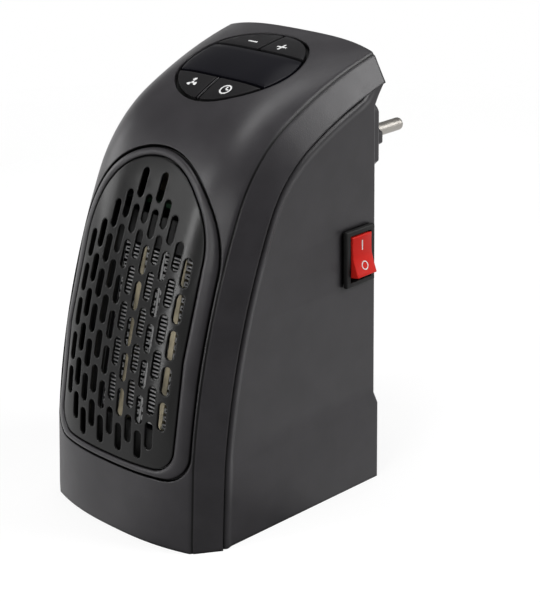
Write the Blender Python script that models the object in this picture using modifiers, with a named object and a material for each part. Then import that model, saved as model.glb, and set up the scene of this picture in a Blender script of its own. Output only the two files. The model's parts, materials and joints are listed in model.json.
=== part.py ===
"""Plug-in fan heater, modelled as an assembly of separate solids.

Units are metres. +Z is up, the grille looks along -Y, the rocker switch is on +X
and the mains plug stands out of the back along +Y. The origin is on the floor,
below the middle of the housing.
"""
import math

import bmesh
import bpy
import numpy as np
from mathutils import Matrix, Vector
from mathutils.geometry import delaunay_2d_cdt

COLLECTION = "plug_in_fan_heater"

# Shared fits
SEAT_GAP = 0.0003
CUT_OVERRUN = 0.004
WALL = 0.0020

# Ridge: three tangent arcs in the side view, from the foot up to the back of the hood
FOOT_Y = -0.0465
FACE_RADIUS = 0.2690
FACE_TURN = math.radians(25.6)
BROW_RADIUS = 0.0550
BROW_TURN = math.radians(35.0)
DECK_RADIUS = 0.1600
BACK_Y = 0.0416
HOOD_OVERHANG = 0.0051
HOOD_REAR_Y = BACK_Y + HOOD_OVERHANG
HOOD_BOW = 0.0015

# Front shell in plan: ridge, side band and parting line
BODY_HALF_WIDTH = 0.0411
BAND_WIDTH = 0.0062
RIDGE_HALF_WIDTH = BODY_HALF_WIDTH - BAND_WIDTH
BAND_DROP = 0.0092
CROWN_HEIGHT = 0.0080
CROWN_STATION_SHARES = (0.0, 0.18, 0.55, 0.75, 0.86, 1.0)
CROWN_HEIGHT_SHARES = (0.65, 0.90, 0.87, 1.0, 0.805, 0.3125)
CROWN_POWERS = (2.5, 3.2, 3.7, 4.2, 3.6, 4.0)
CROWN_COLUMN_SHARES = (0.0, 0.35, 0.62, 0.80, 0.92, 1.0)
BACK_COLUMN_SHARES = (0.8, 0.4, 0.0)
SHELL_EDGE_ROUND = 0.0008

# Rear shell: strip along the parting line, sunk side panel, skirt and back wall
STRIP_WIDTH = 0.0045
PANEL_INSET = 0.0009
SKIRT_FRONT_INSET = 0.0004
SKIRT_REAR_FLARE = 0.0010
PANEL_HALF_WIDTH = BODY_HALF_WIDTH - PANEL_INSET
SKIRT_FRONT_HALF_WIDTH = BODY_HALF_WIDTH - SKIRT_FRONT_INSET
SKIRT_REAR_HALF_WIDTH = BODY_HALF_WIDTH + SKIRT_REAR_FLARE
SKIRT_HEIGHT = 0.0295
SKIRT_CHAMFER = 0.0035
HOOD_SLANT_DROP = 0.0071
HOOD_LIP_INSET = 0.0010
HOOD_LIP_Y = HOOD_REAR_Y - HOOD_LIP_INSET
BACK_CORNER_RADIUS = 0.0007

# Grille: outline on the unrolled face, slots in staggered columns
BEZEL_MARGIN = 0.0010
BEZEL_HALF_WIDTH = RIDGE_HALF_WIDTH - BEZEL_MARGIN
BEZEL_BOTTOM = 0.0249
BEZEL_SHOULDER = 0.0970
BEZEL_APEX = 0.1324
BEZEL_CORNER = 0.0090
GRILLE_INSET = 0.0054
GRILLE_HALF_WIDTH = BEZEL_HALF_WIDTH - GRILLE_INSET
GRILLE_BOTTOM = 0.0278
GRILLE_SHOULDER = 0.0995
GRILLE_APEX = 0.1294
GRILLE_CORNER = 0.0075
FOOT_RISE = 0.0010
GROOVE_HALF_WIDTH = 0.0005
GROOVE_DEPTH = 0.0014
BEZEL_BEAD_HEIGHT = 0.0003
BEZEL_BACK_DEPTH = 0.0036
BEZEL_SHELF_DEPTH = 0.0023
BEZEL_SHELF_WIDTH = 0.0011
BEAD_CREST_SHARES = (0.28, 0.72)
GRILLE_FACE_DEPTH = 0.0003
GRILLE_THICKNESS = 0.0016
SLOT_WIDTH = 0.0027
SLOT_LENGTH = 0.0099
SLOT_COLUMN_SHARE = 0.16526
SLOT_COLUMN_PITCH = GRILLE_HALF_WIDTH * SLOT_COLUMN_SHARE
SLOT_ROW_PITCH = 0.01215
SLOT_TOP_ROW = 0.12035
SLOT_STAGGER = 0.00785
SLOT_COLUMNS_BY_ROW = (
    (-1, 1),
    (-3, -1, 1, 3),
    (-5, -3, -1, 1, 3, 5),
    (-5, -3, -1, 1, 3, 5),
    (-5, -3, -1, 1, 3, 5),
    (-5, -3, -1, 1, 3, 5),
    (-5, -3, -1, 1, 3, 5),
    (-3, -1, 1, 3),
)
STAGGERED_COLUMNS_BY_ROW = (
    (-2, 0, 2),
    (-4, -2, 0, 2, 4),
    (-4, -2, 0, 2, 4),
    (-4, -2, 0, 2, 4),
    (-4, -2, 0, 2, 4),
    (-4, -2, 0, 2, 4),
    (-4, -2, 0, 2, 4),
)

# Control panel on the deck: an oval of four buttons round a window
PANEL_STATION = 0.1724
PANEL_HALF_ACROSS = 0.0234
PANEL_HALF_ALONG = 0.0224
PANEL_GAP = 0.0004
WINDOW_FRONT_STATION = 0.1621
WINDOW_REAR_STATION = 0.1808
WINDOW_THICKNESS = 0.0017
WINDOW_FACE_DEPTH = 0.0003
BUTTON_FACE_DEPTH = 0.0001
BUTTON_THICKNESS = 0.0014
BUTTON_TRAVEL = 0.0004
BUTTON_STEM_RADIUS = 0.0013
BUTTON_STEM_ACROSS = 0.0090
FRONT_STEM_STATION = 0.1568
REAR_STEM_STATION = 0.1858
STEM_HOLE_CLEARANCE = 0.0004
PANEL_FRAME_THICKNESS = 0.0014
PANEL_FRAME_MARGIN = 0.0022
DISPLAY_HALF_ACROSS = 0.0150
DISPLAY_HALF_ALONG = 0.0065
DISPLAY_HEIGHT = 0.0045

# Control board below the deck
BOARD_THICKNESS = 0.0016
BOARD_DEPTH = 0.0125
BOARD_HALF_ACROSS = 0.0230
BOARD_HALF_ALONG = 0.0205
BOARD_POST_RADIUS = 0.0020
BOARD_POST_ACROSS = 0.0195
BOARD_POST_ALONG = 0.0085
TACT_SIZE = 0.0060
TACT_HEIGHT = 0.0035
TACT_PLUNGER_RADIUS = 0.0016
TACT_PLUNGER_HEIGHT = 0.0008

# Rocker switch in the side panel
SWITCH_BACK_INSET = 0.0099
SWITCH_Y = BACK_Y - SWITCH_BACK_INSET
SWITCH_Z = 0.0884
SWITCH_FLANGE_HALF_WIDTH = 0.0074
SWITCH_FLANGE_HALF_HEIGHT = 0.0104
SWITCH_FLANGE_THICKNESS = 0.0019
SWITCH_BODY_HALF_WIDTH = 0.0063
SWITCH_BODY_HALF_HEIGHT = 0.0094
SWITCH_BODY_DEPTH = 0.0125
SWITCH_FLOOR = 0.0016
ROCKER_HALF_WIDTH = 0.0050
ROCKER_HALF_LENGTH = 0.0073
ROCKER_CENTRE_HEIGHT = 0.0044
ROCKER_END_HEIGHT = 0.0056
ROCKER_SKIRT_DEPTH = 0.0022
ROCKER_SKIRT_HALF_LENGTH = 0.0052
ROCKER_PIVOT_DEPTH = 0.0014
ROCKER_CLEARANCE = 0.0004
ROCKER_TILT = math.radians(10.0)
ROCKER_PIN_RADIUS = 0.0010
ROCKER_PIN_LENGTH = 0.0006
SWITCH_BLADE_WIDTH = 0.0048
SWITCH_BLADE_THICKNESS = 0.0008
SWITCH_BLADE_LENGTH = 0.0080
SWITCH_BLADE_PITCH = 0.0070

# Mains plug that turns in the back wall
PLUG_Z = 0.1180
PLUG_DRUM_RADIUS = 0.0188
PLUG_DRUM_LENGTH = 0.0272
PLUG_DRUM_EDGE = 0.0016
PLUG_TOP_CORNER_SHARE = 0.88
PLUG_NECK_RADIUS = 0.0165
PLUG_NECK_INSET = 0.0060
PLUG_FACE_HALF_LENGTH = 0.0174
PLUG_FACE_HALF_WIDTH = 0.0069
PLUG_FACE_TIP_HALF_WIDTH = 0.0020
PLUG_FACE_HEIGHT = 0.0030
PIN_RADIUS = 0.0024
PIN_HALF_PITCH = 0.0095
PIN_LENGTH = 0.0190
PIN_TIP_RADIUS = 0.0014
PIN_TIP_LENGTH = 0.0012
PLUG_RING_RADIUS = 0.0200
PLUG_RING_THICKNESS = 0.0020
PLUG_HUB_CLEARANCE = 0.0003
PLUG_CONTACT_THICKNESS = 0.0007
PLUG_CONTACT_WIDTH = 0.0034
PLUG_CONTACT_GAP = 0.0005
CONTACT_HOLDER_THICKNESS = 0.0024
CONTACT_HOLDER_HALF_HEIGHT = 0.0130

# Heater element behind the grille, tilted with it
HEATER_Y = -0.0241
HEATER_Z = 0.0637
HEATER_TILT = math.radians(14.5)
HEATER_HALF_LENGTH = 0.0320
HEATER_DEPTH = 0.0110
FIN_WIDTH = 0.0080
FIN_HALF_PITCH = 0.00180
FIN_THICKNESS = 0.00030
FIN_GAP = 0.0002
PTC_BAR_WIDTH = 0.0024
ELECTRODE_WIDTH = 0.0010
HEATER_FRAME_WALL = 0.0030
HEATER_FRAME_LIP = 0.0012
BAFFLE_SIDE_INSET = 0.0072
BAFFLE_HALF_WIDTH = PANEL_HALF_WIDTH - BAFFLE_SIDE_INSET
BAFFLE_HALF_HEIGHT = 0.0420
BAFFLE_CORNER = 0.0080
BAFFLE_THICKNESS = 0.0015
CUTOUT_RADIUS = 0.0038
CUTOUT_HEIGHT = 0.0032

# Fan, its duct and its motor
FAN_Z = 0.0660
DUCT_SIDE_CLEARANCE = 0.0062
DUCT_RADIUS = PANEL_HALF_WIDTH - WALL - DUCT_SIDE_CLEARANCE
DUCT_WALL = 0.0016
MOTOR_BACK_INSET = 0.0061
MOTOR_LENGTH = 0.0235
MOTOR_REAR_Y = BACK_Y - MOTOR_BACK_INSET
MOTOR_FRONT_Y = MOTOR_REAR_Y - MOTOR_LENGTH
BRACKET_BACK_INSET = 0.0146
BRACKET_Y = BACK_Y - BRACKET_BACK_INSET
DUCT_MOTOR_GAP = 0.0020
DUCT_LENGTH = 0.0170
DUCT_REAR_Y = MOTOR_FRONT_Y - DUCT_MOTOR_GAP
DUCT_FRONT_Y = DUCT_REAR_Y - DUCT_LENGTH
DUCT_MOUTH_OVERLAP = 0.0030
BULKHEAD_THICKNESS = 0.0018
BULKHEAD_MARGIN = 0.0040
BULKHEAD_BOTTOM = FAN_Z - DUCT_RADIUS - BULKHEAD_MARGIN
BULKHEAD_TOP = FAN_Z + DUCT_RADIUS + BULKHEAD_MARGIN
IMPELLER_TIP_CLEARANCE = 0.0012
IMPELLER_HUB_RADIUS = 0.0110
IMPELLER_MOTOR_GAP = 0.0035
IMPELLER_LENGTH = 0.0135
IMPELLER_REAR_Y = MOTOR_FRONT_Y - IMPELLER_MOTOR_GAP
IMPELLER_FRONT_Y = IMPELLER_REAR_Y - IMPELLER_LENGTH
IMPELLER_NOSE = 0.0020
BLADE_COUNT = 7
BLADE_THICKNESS = 0.0012
BLADE_ROOT_SINK = 0.0010
BLADE_SPAN = 0.0115
BLADE_SWEEP_ROOT = math.radians(26.0)
BLADE_SWEEP_TIP = math.radians(40.0)
BLADE_CAMBER_SHARE = 0.6
BLADE_TIP_SHARE = 0.3
SHAFT_RADIUS = 0.0011
SHAFT_ENGAGEMENT = 0.0040
HUB_BORE_DEPTH = 0.0090
MOTOR_RADIUS = 0.0120
MOTOR_EDGE = 0.0010
MOTOR_BOSS_RADIUS = 0.0035
MOTOR_BOSS_HEIGHT = 0.0015
BRACKET_THICKNESS = 0.0020
BRACKET_RING_RADIUS = 0.0160
BRACKET_OVERHANG = 0.0025
BRACKET_HALF_LENGTH = DUCT_RADIUS + BRACKET_OVERHANG
BRACKET_HALF_HEIGHT = 0.0060
BRACKET_POST_INSET = 0.0045
BRACKET_POST_X = BRACKET_HALF_LENGTH - BRACKET_POST_INSET
POST_RADIUS = 0.0032
INNER_SCREW_HEAD_RADIUS = 0.0026
INNER_SCREW_HEAD_HEIGHT = 0.0015
INNER_SCREW_RADIUS = 0.0011
INNER_SCREW_LENGTH = 0.0080

# Power board above the duct
POWER_BOARD_CLEARANCE = 0.0040
POWER_BOARD_Z = BULKHEAD_TOP + POWER_BOARD_CLEARANCE
POWER_BOARD_BACK_INSET = 0.0156
POWER_BOARD_LENGTH = 0.0380
POWER_BOARD_REAR_Y = BACK_Y - POWER_BOARD_BACK_INSET
POWER_BOARD_FRONT_Y = POWER_BOARD_REAR_Y - POWER_BOARD_LENGTH
RAIL_HEIGHT = 0.0020
RAIL_DEPTH = 0.0030
RELAY_SIZE = (0.0190, 0.0155, 0.0155)
RELAY_PLACE_SHARES = (0.45, 0.68)
CAPACITOR_SIZE = (0.0130, 0.0060, 0.0110)
CAPACITOR_PLACE_SHARES = (-0.45, 0.30)
CHIP_SIZE = (0.0100, 0.0060, 0.0018)
CHIP_PLACE_SHARES = (-0.05, 0.25)
TERMINAL_BLOCK_SIZE = (0.0160, 0.0080, 0.0100)
TERMINAL_BLOCK_PLACE_SHARES = (-0.45, 0.75)

# Screws that close the housing, in wells in the back wall
SHELL_SCREW_INSET = 0.0093
SHELL_SCREW_HEIGHTS = (0.0105, 0.1285)
SCREW_RADIUS = 0.0015
SCREW_LENGTH = 0.0110
SCREW_HEAD_RADIUS = 0.0028
SCREW_HEAD_HEIGHT = 0.0018
SCREW_WELL_RADIUS = 0.0033
SCREW_WELL_DEPTH = 0.0030
SCREW_BOSS_RADIUS = 0.0046
SCREW_BOSS_DEPTH = 0.0048
SHELL_POST_RADIUS = 0.0034
SHELL_SCREW_X = SKIRT_REAR_HALF_WIDTH - SHELL_SCREW_INSET
CONTACT_HOLDER_SIDE_GAP = 0.0016
CONTACT_HOLDER_HALF_LENGTH = SHELL_SCREW_X - SHELL_POST_RADIUS - CONTACT_HOLDER_SIDE_GAP
CONTACT_POST_INSET = 0.0035
CONTACT_POST_X = CONTACT_HOLDER_HALF_LENGTH - CONTACT_POST_INSET

# Air intake in the back wall, narrower than a finger
VENT_ROWS = 8
VENT_PITCH = 0.0064
VENT_HEIGHT = 0.0030
VENT_HALF_LENGTH = 0.0110
VENT_X = 0.0140
VENT_BOTTOM = 0.0420

# Facets
FACE_ROWS = 7
BROW_ROWS = 6
DECK_ROWS = 5
OUTLINE_ARCH_STEPS = 8
FOOT_POINT_SHARES = (0.35, 0.7)
OUTLINE_CORNER_STEPS = 3
SLOT_END_STEPS = 3
OVAL_STEPS = 32
ROUND_STEPS = 14
SMALL_ROUND_STEPS = 10
DRUM_STEPS = 32
DUCT_STEPS = 24

FINISHES = {
    "black_shell": ((0.030, 0.030, 0.032), 0.50, 0.0),
    "gloss_black": ((0.012, 0.012, 0.013), 0.16, 0.0),
    "smoked_window": ((0.010, 0.010, 0.014), 0.08, 0.0),
    "button_black": ((0.032, 0.032, 0.034), 0.45, 0.0),
    "inner_black": ((0.018, 0.018, 0.018), 0.60, 0.0),
    "red_rocker": ((0.600, 0.035, 0.028), 0.25, 0.0),
    "nickel_plate": ((0.720, 0.700, 0.660), 0.28, 1.0),
    "brass_strip": ((0.780, 0.570, 0.250), 0.30, 1.0),
    "zinc_steel": ((0.560, 0.560, 0.560), 0.38, 1.0),
    "fin_aluminium": ((0.760, 0.760, 0.760), 0.32, 1.0),
    "amber_film": ((0.620, 0.420, 0.150), 0.30, 0.0),
    "board_green": ((0.030, 0.160, 0.070), 0.45, 0.0),
    "impeller_white": ((0.620, 0.620, 0.600), 0.45, 0.0),
}


def remove_everything():
    for item in list(bpy.data.objects):
        bpy.data.objects.remove(item, do_unlink=True)


def collection(name):
    group = bpy.data.collections.get(name)
    if group is None:
        group = bpy.data.collections.new(name)
        bpy.context.scene.collection.children.link(group)
    return group


def finish_material(node, finish):
    """One Principled material for one node."""
    colour, roughness, metallic = FINISHES[finish]
    made = bpy.data.materials.new(node + "_" + finish)
    made.use_nodes = True
    shader = made.node_tree.nodes["Principled BSDF"]
    shader.inputs["Base Color"].default_value = (*colour, 1.0)
    shader.inputs["Roughness"].default_value = roughness
    shader.inputs["Metallic"].default_value = metallic
    return made


def add_piece(name, mesh, finish, origin=None):
    """Link a mesh as a node of the object, with its origin on its joint's axis if it moves."""
    mesh.name = name
    piece = bpy.data.objects.new(name, mesh)
    collection(COLLECTION).objects.link(piece)
    mesh.materials.clear()
    mesh.materials.append(finish_material(name, finish))
    if origin is not None:
        mesh.transform(Matrix.Translation(-Vector(origin)))
        piece.location = origin
    mesh.shade_smooth()
    mesh.set_sharp_from_angle(angle=math.radians(30.0))
    return piece


def add_pair(stem, left, right, finish, origin=None):
    """Two like pieces, one each side of the middle."""
    add_piece(stem + "_left", left, finish, origin)
    add_piece(stem + "_right", right, finish, origin)


def add_tool(name, mesh):
    """Link a mesh as a cutter or a shape to fuse, which the build leaves out."""
    tool = bpy.data.objects.new(name, mesh)
    collection("cutters").objects.link(tool)
    tool.display_type = "WIRE"
    tool.hide_render = True
    return tool


def combine(piece, mesh, operation):
    tool = add_tool(piece.name + "_" + operation.lower() + "_tool", mesh)
    change = piece.modifiers.new(tool.name, "BOOLEAN")
    change.operation = operation
    change.solver = "EXACT"
    change.object = tool


def cut(piece, *meshes):
    combine(piece, joined(meshes), "DIFFERENCE")


def fuse(piece, *meshes):
    combine(piece, joined(meshes), "UNION")


def face_outwards(work):
    """Point the faces of a closed mesh out of it."""
    bmesh.ops.recalc_face_normals(work, faces=work.faces)
    if work.calc_volume(signed=True) < 0.0:
        bmesh.ops.reverse_faces(work, faces=work.faces)


def mesh_from(work):
    mesh = bpy.data.meshes.new("shape")
    work.normal_update()
    work.to_mesh(mesh)
    work.free()
    return mesh


def joined(meshes):
    """Several closed meshes as one mesh of separate bodies."""
    if len(meshes) == 1:
        return meshes[0]
    work = bmesh.new()
    for mesh in meshes:
        work.from_mesh(mesh)
    return mesh_from(work)


def placed(mesh, frame):
    mesh.transform(frame)
    return mesh


def box(low, high):
    """Box between two corners."""
    low = Vector(low)
    high = Vector(high)
    size = high - low
    work = bmesh.new()
    bmesh.ops.create_cube(work, size=1.0)
    bmesh.ops.scale(work, vec=size, verts=work.verts)
    bmesh.ops.translate(work, vec=(low + high) / 2, verts=work.verts)
    return mesh_from(work)


def turned(profile, steps):
    """Solid of revolution about +Z from (radius, height) points that run top to bottom."""
    mesh = bpy.data.meshes.new("profile")
    ring = profile[0] == profile[-1]
    points = [(radius, 0.0, height) for radius, height in (profile[:-1] if ring else profile)]
    edges = [(index, index + 1) for index in range(len(points) - 1)]
    if ring:
        edges.append((len(points) - 1, 0))
    mesh.from_pydata(points, edges, [])
    guide = bpy.data.objects.new("profile", mesh)
    collection("cutters").objects.link(guide)
    screw = guide.modifiers.new("turn", "SCREW")
    screw.axis = "Z"
    screw.steps = steps
    screw.render_steps = steps
    screw.use_merge_vertices = True
    screw.merge_threshold = 0.00001
    made = bpy.data.meshes.new_from_object(guide.evaluated_get(bpy.context.evaluated_depsgraph_get()))
    bpy.data.objects.remove(guide, do_unlink=True)
    work = bmesh.new()
    work.from_mesh(made)
    face_outwards(work)
    work.to_mesh(made)
    work.free()
    return made


def along_y(mesh, x, y, z):
    """Stand a turned solid's +Z along +Y, with its zero height at the given point."""
    return placed(mesh, Matrix.Translation((x, y, z)) @ Matrix.Rotation(-math.pi / 2, 4, "X"))


def rod_y(radius, x, y_low, y_high, z, steps=SMALL_ROUND_STEPS):
    """Cylinder along Y."""
    length = y_high - y_low
    return along_y(turned([(0.0, length), (radius, length), (radius, 0.0), (0.0, 0.0)], steps), x, y_low, z)


def flat_plate(loops, low, high):
    """Closed plate from 2D loops (the first is the outline, the rest holes) between two heights."""
    curve = bpy.data.curves.new("outline", "CURVE")
    curve.dimensions = "2D"
    curve.fill_mode = "BOTH"
    curve.extrude = (high - low) / 2
    for loop in loops:
        spline = curve.splines.new("POLY")
        spline.points.add(len(loop) - 1)
        for point, (across, along) in zip(spline.points, loop):
            point.co = (across, along, 0.0, 1.0)
        spline.use_cyclic_u = True
    guide = bpy.data.objects.new("outline", curve)
    collection("cutters").objects.link(guide)
    made = bpy.data.meshes.new_from_object(guide.evaluated_get(bpy.context.evaluated_depsgraph_get()))
    bpy.data.objects.remove(guide, do_unlink=True)
    work = bmesh.new()
    work.from_mesh(made)
    bmesh.ops.remove_doubles(work, verts=work.verts, dist=SEAT_GAP / 100)
    face_outwards(work)
    bmesh.ops.translate(work, vec=(0.0, 0.0, (low + high) / 2), verts=work.verts)
    work.to_mesh(made)
    work.free()
    return made


def sliced(mesh, stations, columns=()):
    """Split a plate at stations along its length and columns across it, so that it can follow a curve."""
    work = bmesh.new()
    work.from_mesh(mesh)
    bmesh.ops.dissolve_limit(work, angle_limit=math.radians(1.0), verts=work.verts, edges=work.edges)
    planes = [((0.0, station, 0.0), (0.0, 1.0, 0.0)) for station in stations]
    planes += [((column, 0.0, 0.0), (1.0, 0.0, 0.0)) for column in columns]
    for place, normal in planes:
        geometry = work.verts[:] + work.edges[:] + work.faces[:]
        bmesh.ops.bisect_plane(work, geom=geometry, dist=SEAT_GAP / 100, plane_co=place, plane_no=normal)
    work.to_mesh(mesh)
    work.free()
    return mesh


def evenly(start, end, count):
    """Count + 1 values from start to end."""
    return [start + (end - start) * step / count for step in range(count + 1)]


FACE_LENGTH = FACE_RADIUS * FACE_TURN
BROW_HEADING = math.pi / 2 - FACE_TURN
BROW_Y = FOOT_Y + FACE_RADIUS * (1.0 - math.sin(BROW_HEADING))
BROW_Z = FACE_RADIUS * math.cos(BROW_HEADING)
DECK_HEADING = BROW_HEADING - BROW_TURN
DECK_START = FACE_LENGTH + BROW_RADIUS * BROW_TURN
DECK_Y = BROW_Y + BROW_RADIUS * (math.sin(BROW_HEADING) - math.sin(DECK_HEADING))
DECK_Z = BROW_Z + BROW_RADIUS * (math.cos(DECK_HEADING) - math.cos(BROW_HEADING))


def deck_station(y, inset):
    """Ridge length at which a line that runs inset below the ridge reaches y on the deck."""
    sine = (DECK_Y + DECK_RADIUS * math.sin(DECK_HEADING) - y) / (DECK_RADIUS - inset)
    return DECK_START + DECK_RADIUS * (DECK_HEADING - math.asin(sine))


def face_station(z, inset):
    """Ridge length at which a line that runs inset behind the ridge reaches height z on the face."""
    return FACE_RADIUS * math.asin(z / (FACE_RADIUS - inset))


RIDGE_LENGTH = deck_station(HOOD_REAR_Y, 0.0)


def ridge(station):
    """Point (y, z) of the ridge and its heading above +Y, at a length measured up from the foot."""
    if station <= FACE_LENGTH:
        y, z, start, radius, along = FOOT_Y, 0.0, math.pi / 2, FACE_RADIUS, station
    elif station <= DECK_START:
        y, z, start, radius, along = BROW_Y, BROW_Z, BROW_HEADING, BROW_RADIUS, station - FACE_LENGTH
    else:
        y, z, start, radius, along = DECK_Y, DECK_Z, DECK_HEADING, DECK_RADIUS, station - DECK_START
    heading = start - along / radius
    y += radius * (math.sin(start) - math.sin(heading))
    z += radius * (math.cos(heading) - math.cos(start))
    return y, z, heading


def off_ridge(x, station, offset):
    """Point at a distance outside the ridge, square to it."""
    y, z, heading = ridge(station)
    return Vector((x, y - math.sin(heading) * offset, z + math.cos(heading) * offset))


def along_crown(station, values):
    """Smooth curve through values given at the crown's stations."""
    share = min(max(station / RIDGE_LENGTH, 0.0), 1.0)
    slopes = np.gradient(values, CROWN_STATION_SHARES)
    index = min(sum(share >= start for start in CROWN_STATION_SHARES), len(values) - 1) - 1
    start, end = CROWN_STATION_SHARES[index : index + 2]
    span = end - start
    step = (share - start) / span
    rise = values[index + 1] - values[index]
    ease = step * step * (3.0 - 2.0 * step)
    first = slopes[index] * span * step * (1.0 - step) ** 2
    last = slopes[index + 1] * span * step * step * (step - 1.0)
    return values[index] + rise * ease + first + last


def crown(x, station):
    """How far the crowned face, or the band that slopes back beside it, stands outside the ridge."""
    if abs(x) > RIDGE_HALF_WIDTH:
        return -BAND_DROP * (abs(x) - RIDGE_HALF_WIDTH) / (BODY_HALF_WIDTH - RIDGE_HALF_WIDTH)
    height = CROWN_HEIGHT * along_crown(station, CROWN_HEIGHT_SHARES)
    power = along_crown(station, CROWN_POWERS)
    across = min(abs(x) / RIDGE_HALF_WIDTH, 1.0)
    return float(height * (1.0 - across ** power))


def on_shell(x, station, level=0.0):
    """Point on the crowned face, or a level above it."""
    return off_ridge(x, station, crown(x, station) + level)


def bent(mesh, crowned=True):
    """Carry a plate from the unrolled face (x, station, level) to its place on the shell."""
    place = on_shell if crowned else off_ridge
    for vertex in mesh.vertices:
        vertex.co = place(*vertex.co)
    return mesh


def stretched(station, end):
    """Station moved along the deck so that the last one lies at end."""
    if station <= DECK_START:
        return station
    return DECK_START + (station - DECK_START) * (end - DECK_START) / (RIDGE_LENGTH - DECK_START)


def profile_stations():
    """Rows of facets that both shells share along the parting line."""
    inset = BAND_DROP + SEAT_GAP + STRIP_WIDTH
    skirt_low = face_station(SKIRT_HEIGHT, inset)
    skirt_high = face_station(SKIRT_HEIGHT + SKIRT_CHAMFER, inset)
    face = evenly(skirt_high, FACE_LENGTH, FACE_ROWS - 2)
    brow = evenly(FACE_LENGTH, DECK_START, BROW_ROWS)
    deck = evenly(DECK_START, RIDGE_LENGTH, DECK_ROWS)
    return [0.0, skirt_low] + face + brow[1:] + deck[1:]


def hood_rear_y(x):
    """The hood's rear edge is bowed in plan."""
    share = min(abs(x) / RIDGE_HALF_WIDTH, 1.0)
    return HOOD_REAR_Y + HOOD_BOW * (1.0 - share * share)


def line_end(inset, y):
    return deck_station(y, inset)


def parting_point(station, inset, end_y, x):
    return off_ridge(x, stretched(station, line_end(inset, end_y)), -inset)


def grille_outline(half_width, bottom, shoulder, apex, corner, grow=0.0):
    """Arch on straight sides with a rounded foot, on the unrolled face, anticlockwise."""
    half_width += grow
    bottom -= grow
    apex += grow
    corner += grow
    points = [(share * (half_width - corner), bottom) for share in FOOT_POINT_SHARES]
    for step in range(OUTLINE_CORNER_STEPS + 1):
        angle = math.pi / 2 * step / OUTLINE_CORNER_STEPS
        across = half_width - corner + corner * math.sin(angle)
        points.append((across, bottom + corner - corner * math.cos(angle)))
    points.append((half_width, (bottom + corner + shoulder) / 2))
    for step in range(OUTLINE_ARCH_STEPS):
        angle = math.pi / 2 * step / OUTLINE_ARCH_STEPS
        points.append((half_width * math.cos(angle), shoulder + (apex - shoulder) * math.sin(angle)))
    for index in range(len(FOOT_POINT_SHARES) + OUTLINE_CORNER_STEPS + 1):
        across, along = points[index]
        points[index] = (across, along + FOOT_RISE * (across / half_width) ** 2)
    mirrored = [(-across, along) for across, along in reversed(points)]
    return [(0.0, bottom)] + points + [(0.0, apex)] + mirrored


def bezel_outline(grow=0.0):
    return grille_outline(
        BEZEL_HALF_WIDTH, BEZEL_BOTTOM, BEZEL_SHOULDER, BEZEL_APEX, BEZEL_CORNER, grow
    )


def panel_outline(grow=0.0):
    """Oval of the control panel on the unrolled deck."""
    across = PANEL_HALF_ACROSS + grow
    along = PANEL_HALF_ALONG + grow
    turns = [2 * math.pi * step / OVAL_STEPS for step in range(OVAL_STEPS)]
    return [(across * math.cos(turn), PANEL_STATION + along * math.sin(turn)) for turn in turns]


def both_sides(half):
    """A row of points from the right rim to the middle, carried on to the left rim."""
    return half + [Vector((-point.x, point.y, point.z)) for point in half[-2::-1]]


def shell_solid(sections):
    """Closed shell lofted through sections, each an outer and an inner row of points."""
    work = bmesh.new()
    rows = []
    for outer, inner in sections:
        rows.append([[work.verts.new(point) for point in both_sides(row)] for row in (outer, inner)])
    for (outer, inner), (next_outer, next_inner) in zip(rows, rows[1:]):
        ring = outer + inner[::-1]
        next_ring = next_outer + next_inner[::-1]
        for index in range(len(ring)):
            following = (index + 1) % len(ring)
            work.faces.new([ring[index], ring[following], next_ring[following], next_ring[index]])
    for outer, inner in (rows[0], rows[-1]):
        for index in range(len(outer) - 1):
            work.faces.new([outer[index], outer[index + 1], inner[index + 1], inner[index]])
    bmesh.ops.remove_doubles(work, verts=work.verts, dist=SEAT_GAP / 100)
    bmesh.ops.dissolve_degenerate(work, edges=work.edges, dist=SEAT_GAP / 100)
    face_outwards(work)
    return mesh_from(work)


def front_columns():
    return [share * RIDGE_HALF_WIDTH for share in reversed(CROWN_COLUMN_SHARES)]


def front_outer_row(station, drop=0.0):
    """Outer points of the front shell at a station, from the right rim to the middle."""
    row = [parting_point(station, BAND_DROP, HOOD_LIP_Y, BODY_HALF_WIDTH)]
    for x in front_columns():
        end = line_end(drop - crown(x, RIDGE_LENGTH), hood_rear_y(x))
        row.append(on_shell(x, stretched(station, end), -drop))
    return row


def front_inner_row(station):
    """Inner points a wall below the outer ones, with the rim on the parting line."""
    row = [parting_point(station, BAND_DROP, HOOD_LIP_Y - WALL, BODY_HALF_WIDTH - WALL)]
    narrower = (RIDGE_HALF_WIDTH - WALL / 2) / RIDGE_HALF_WIDTH
    for x in front_columns():
        end = line_end(WALL - crown(x, RIDGE_LENGTH), hood_rear_y(x) - WALL)
        row.append(on_shell(x * narrower, stretched(station, end), -WALL))
    return row


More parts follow.
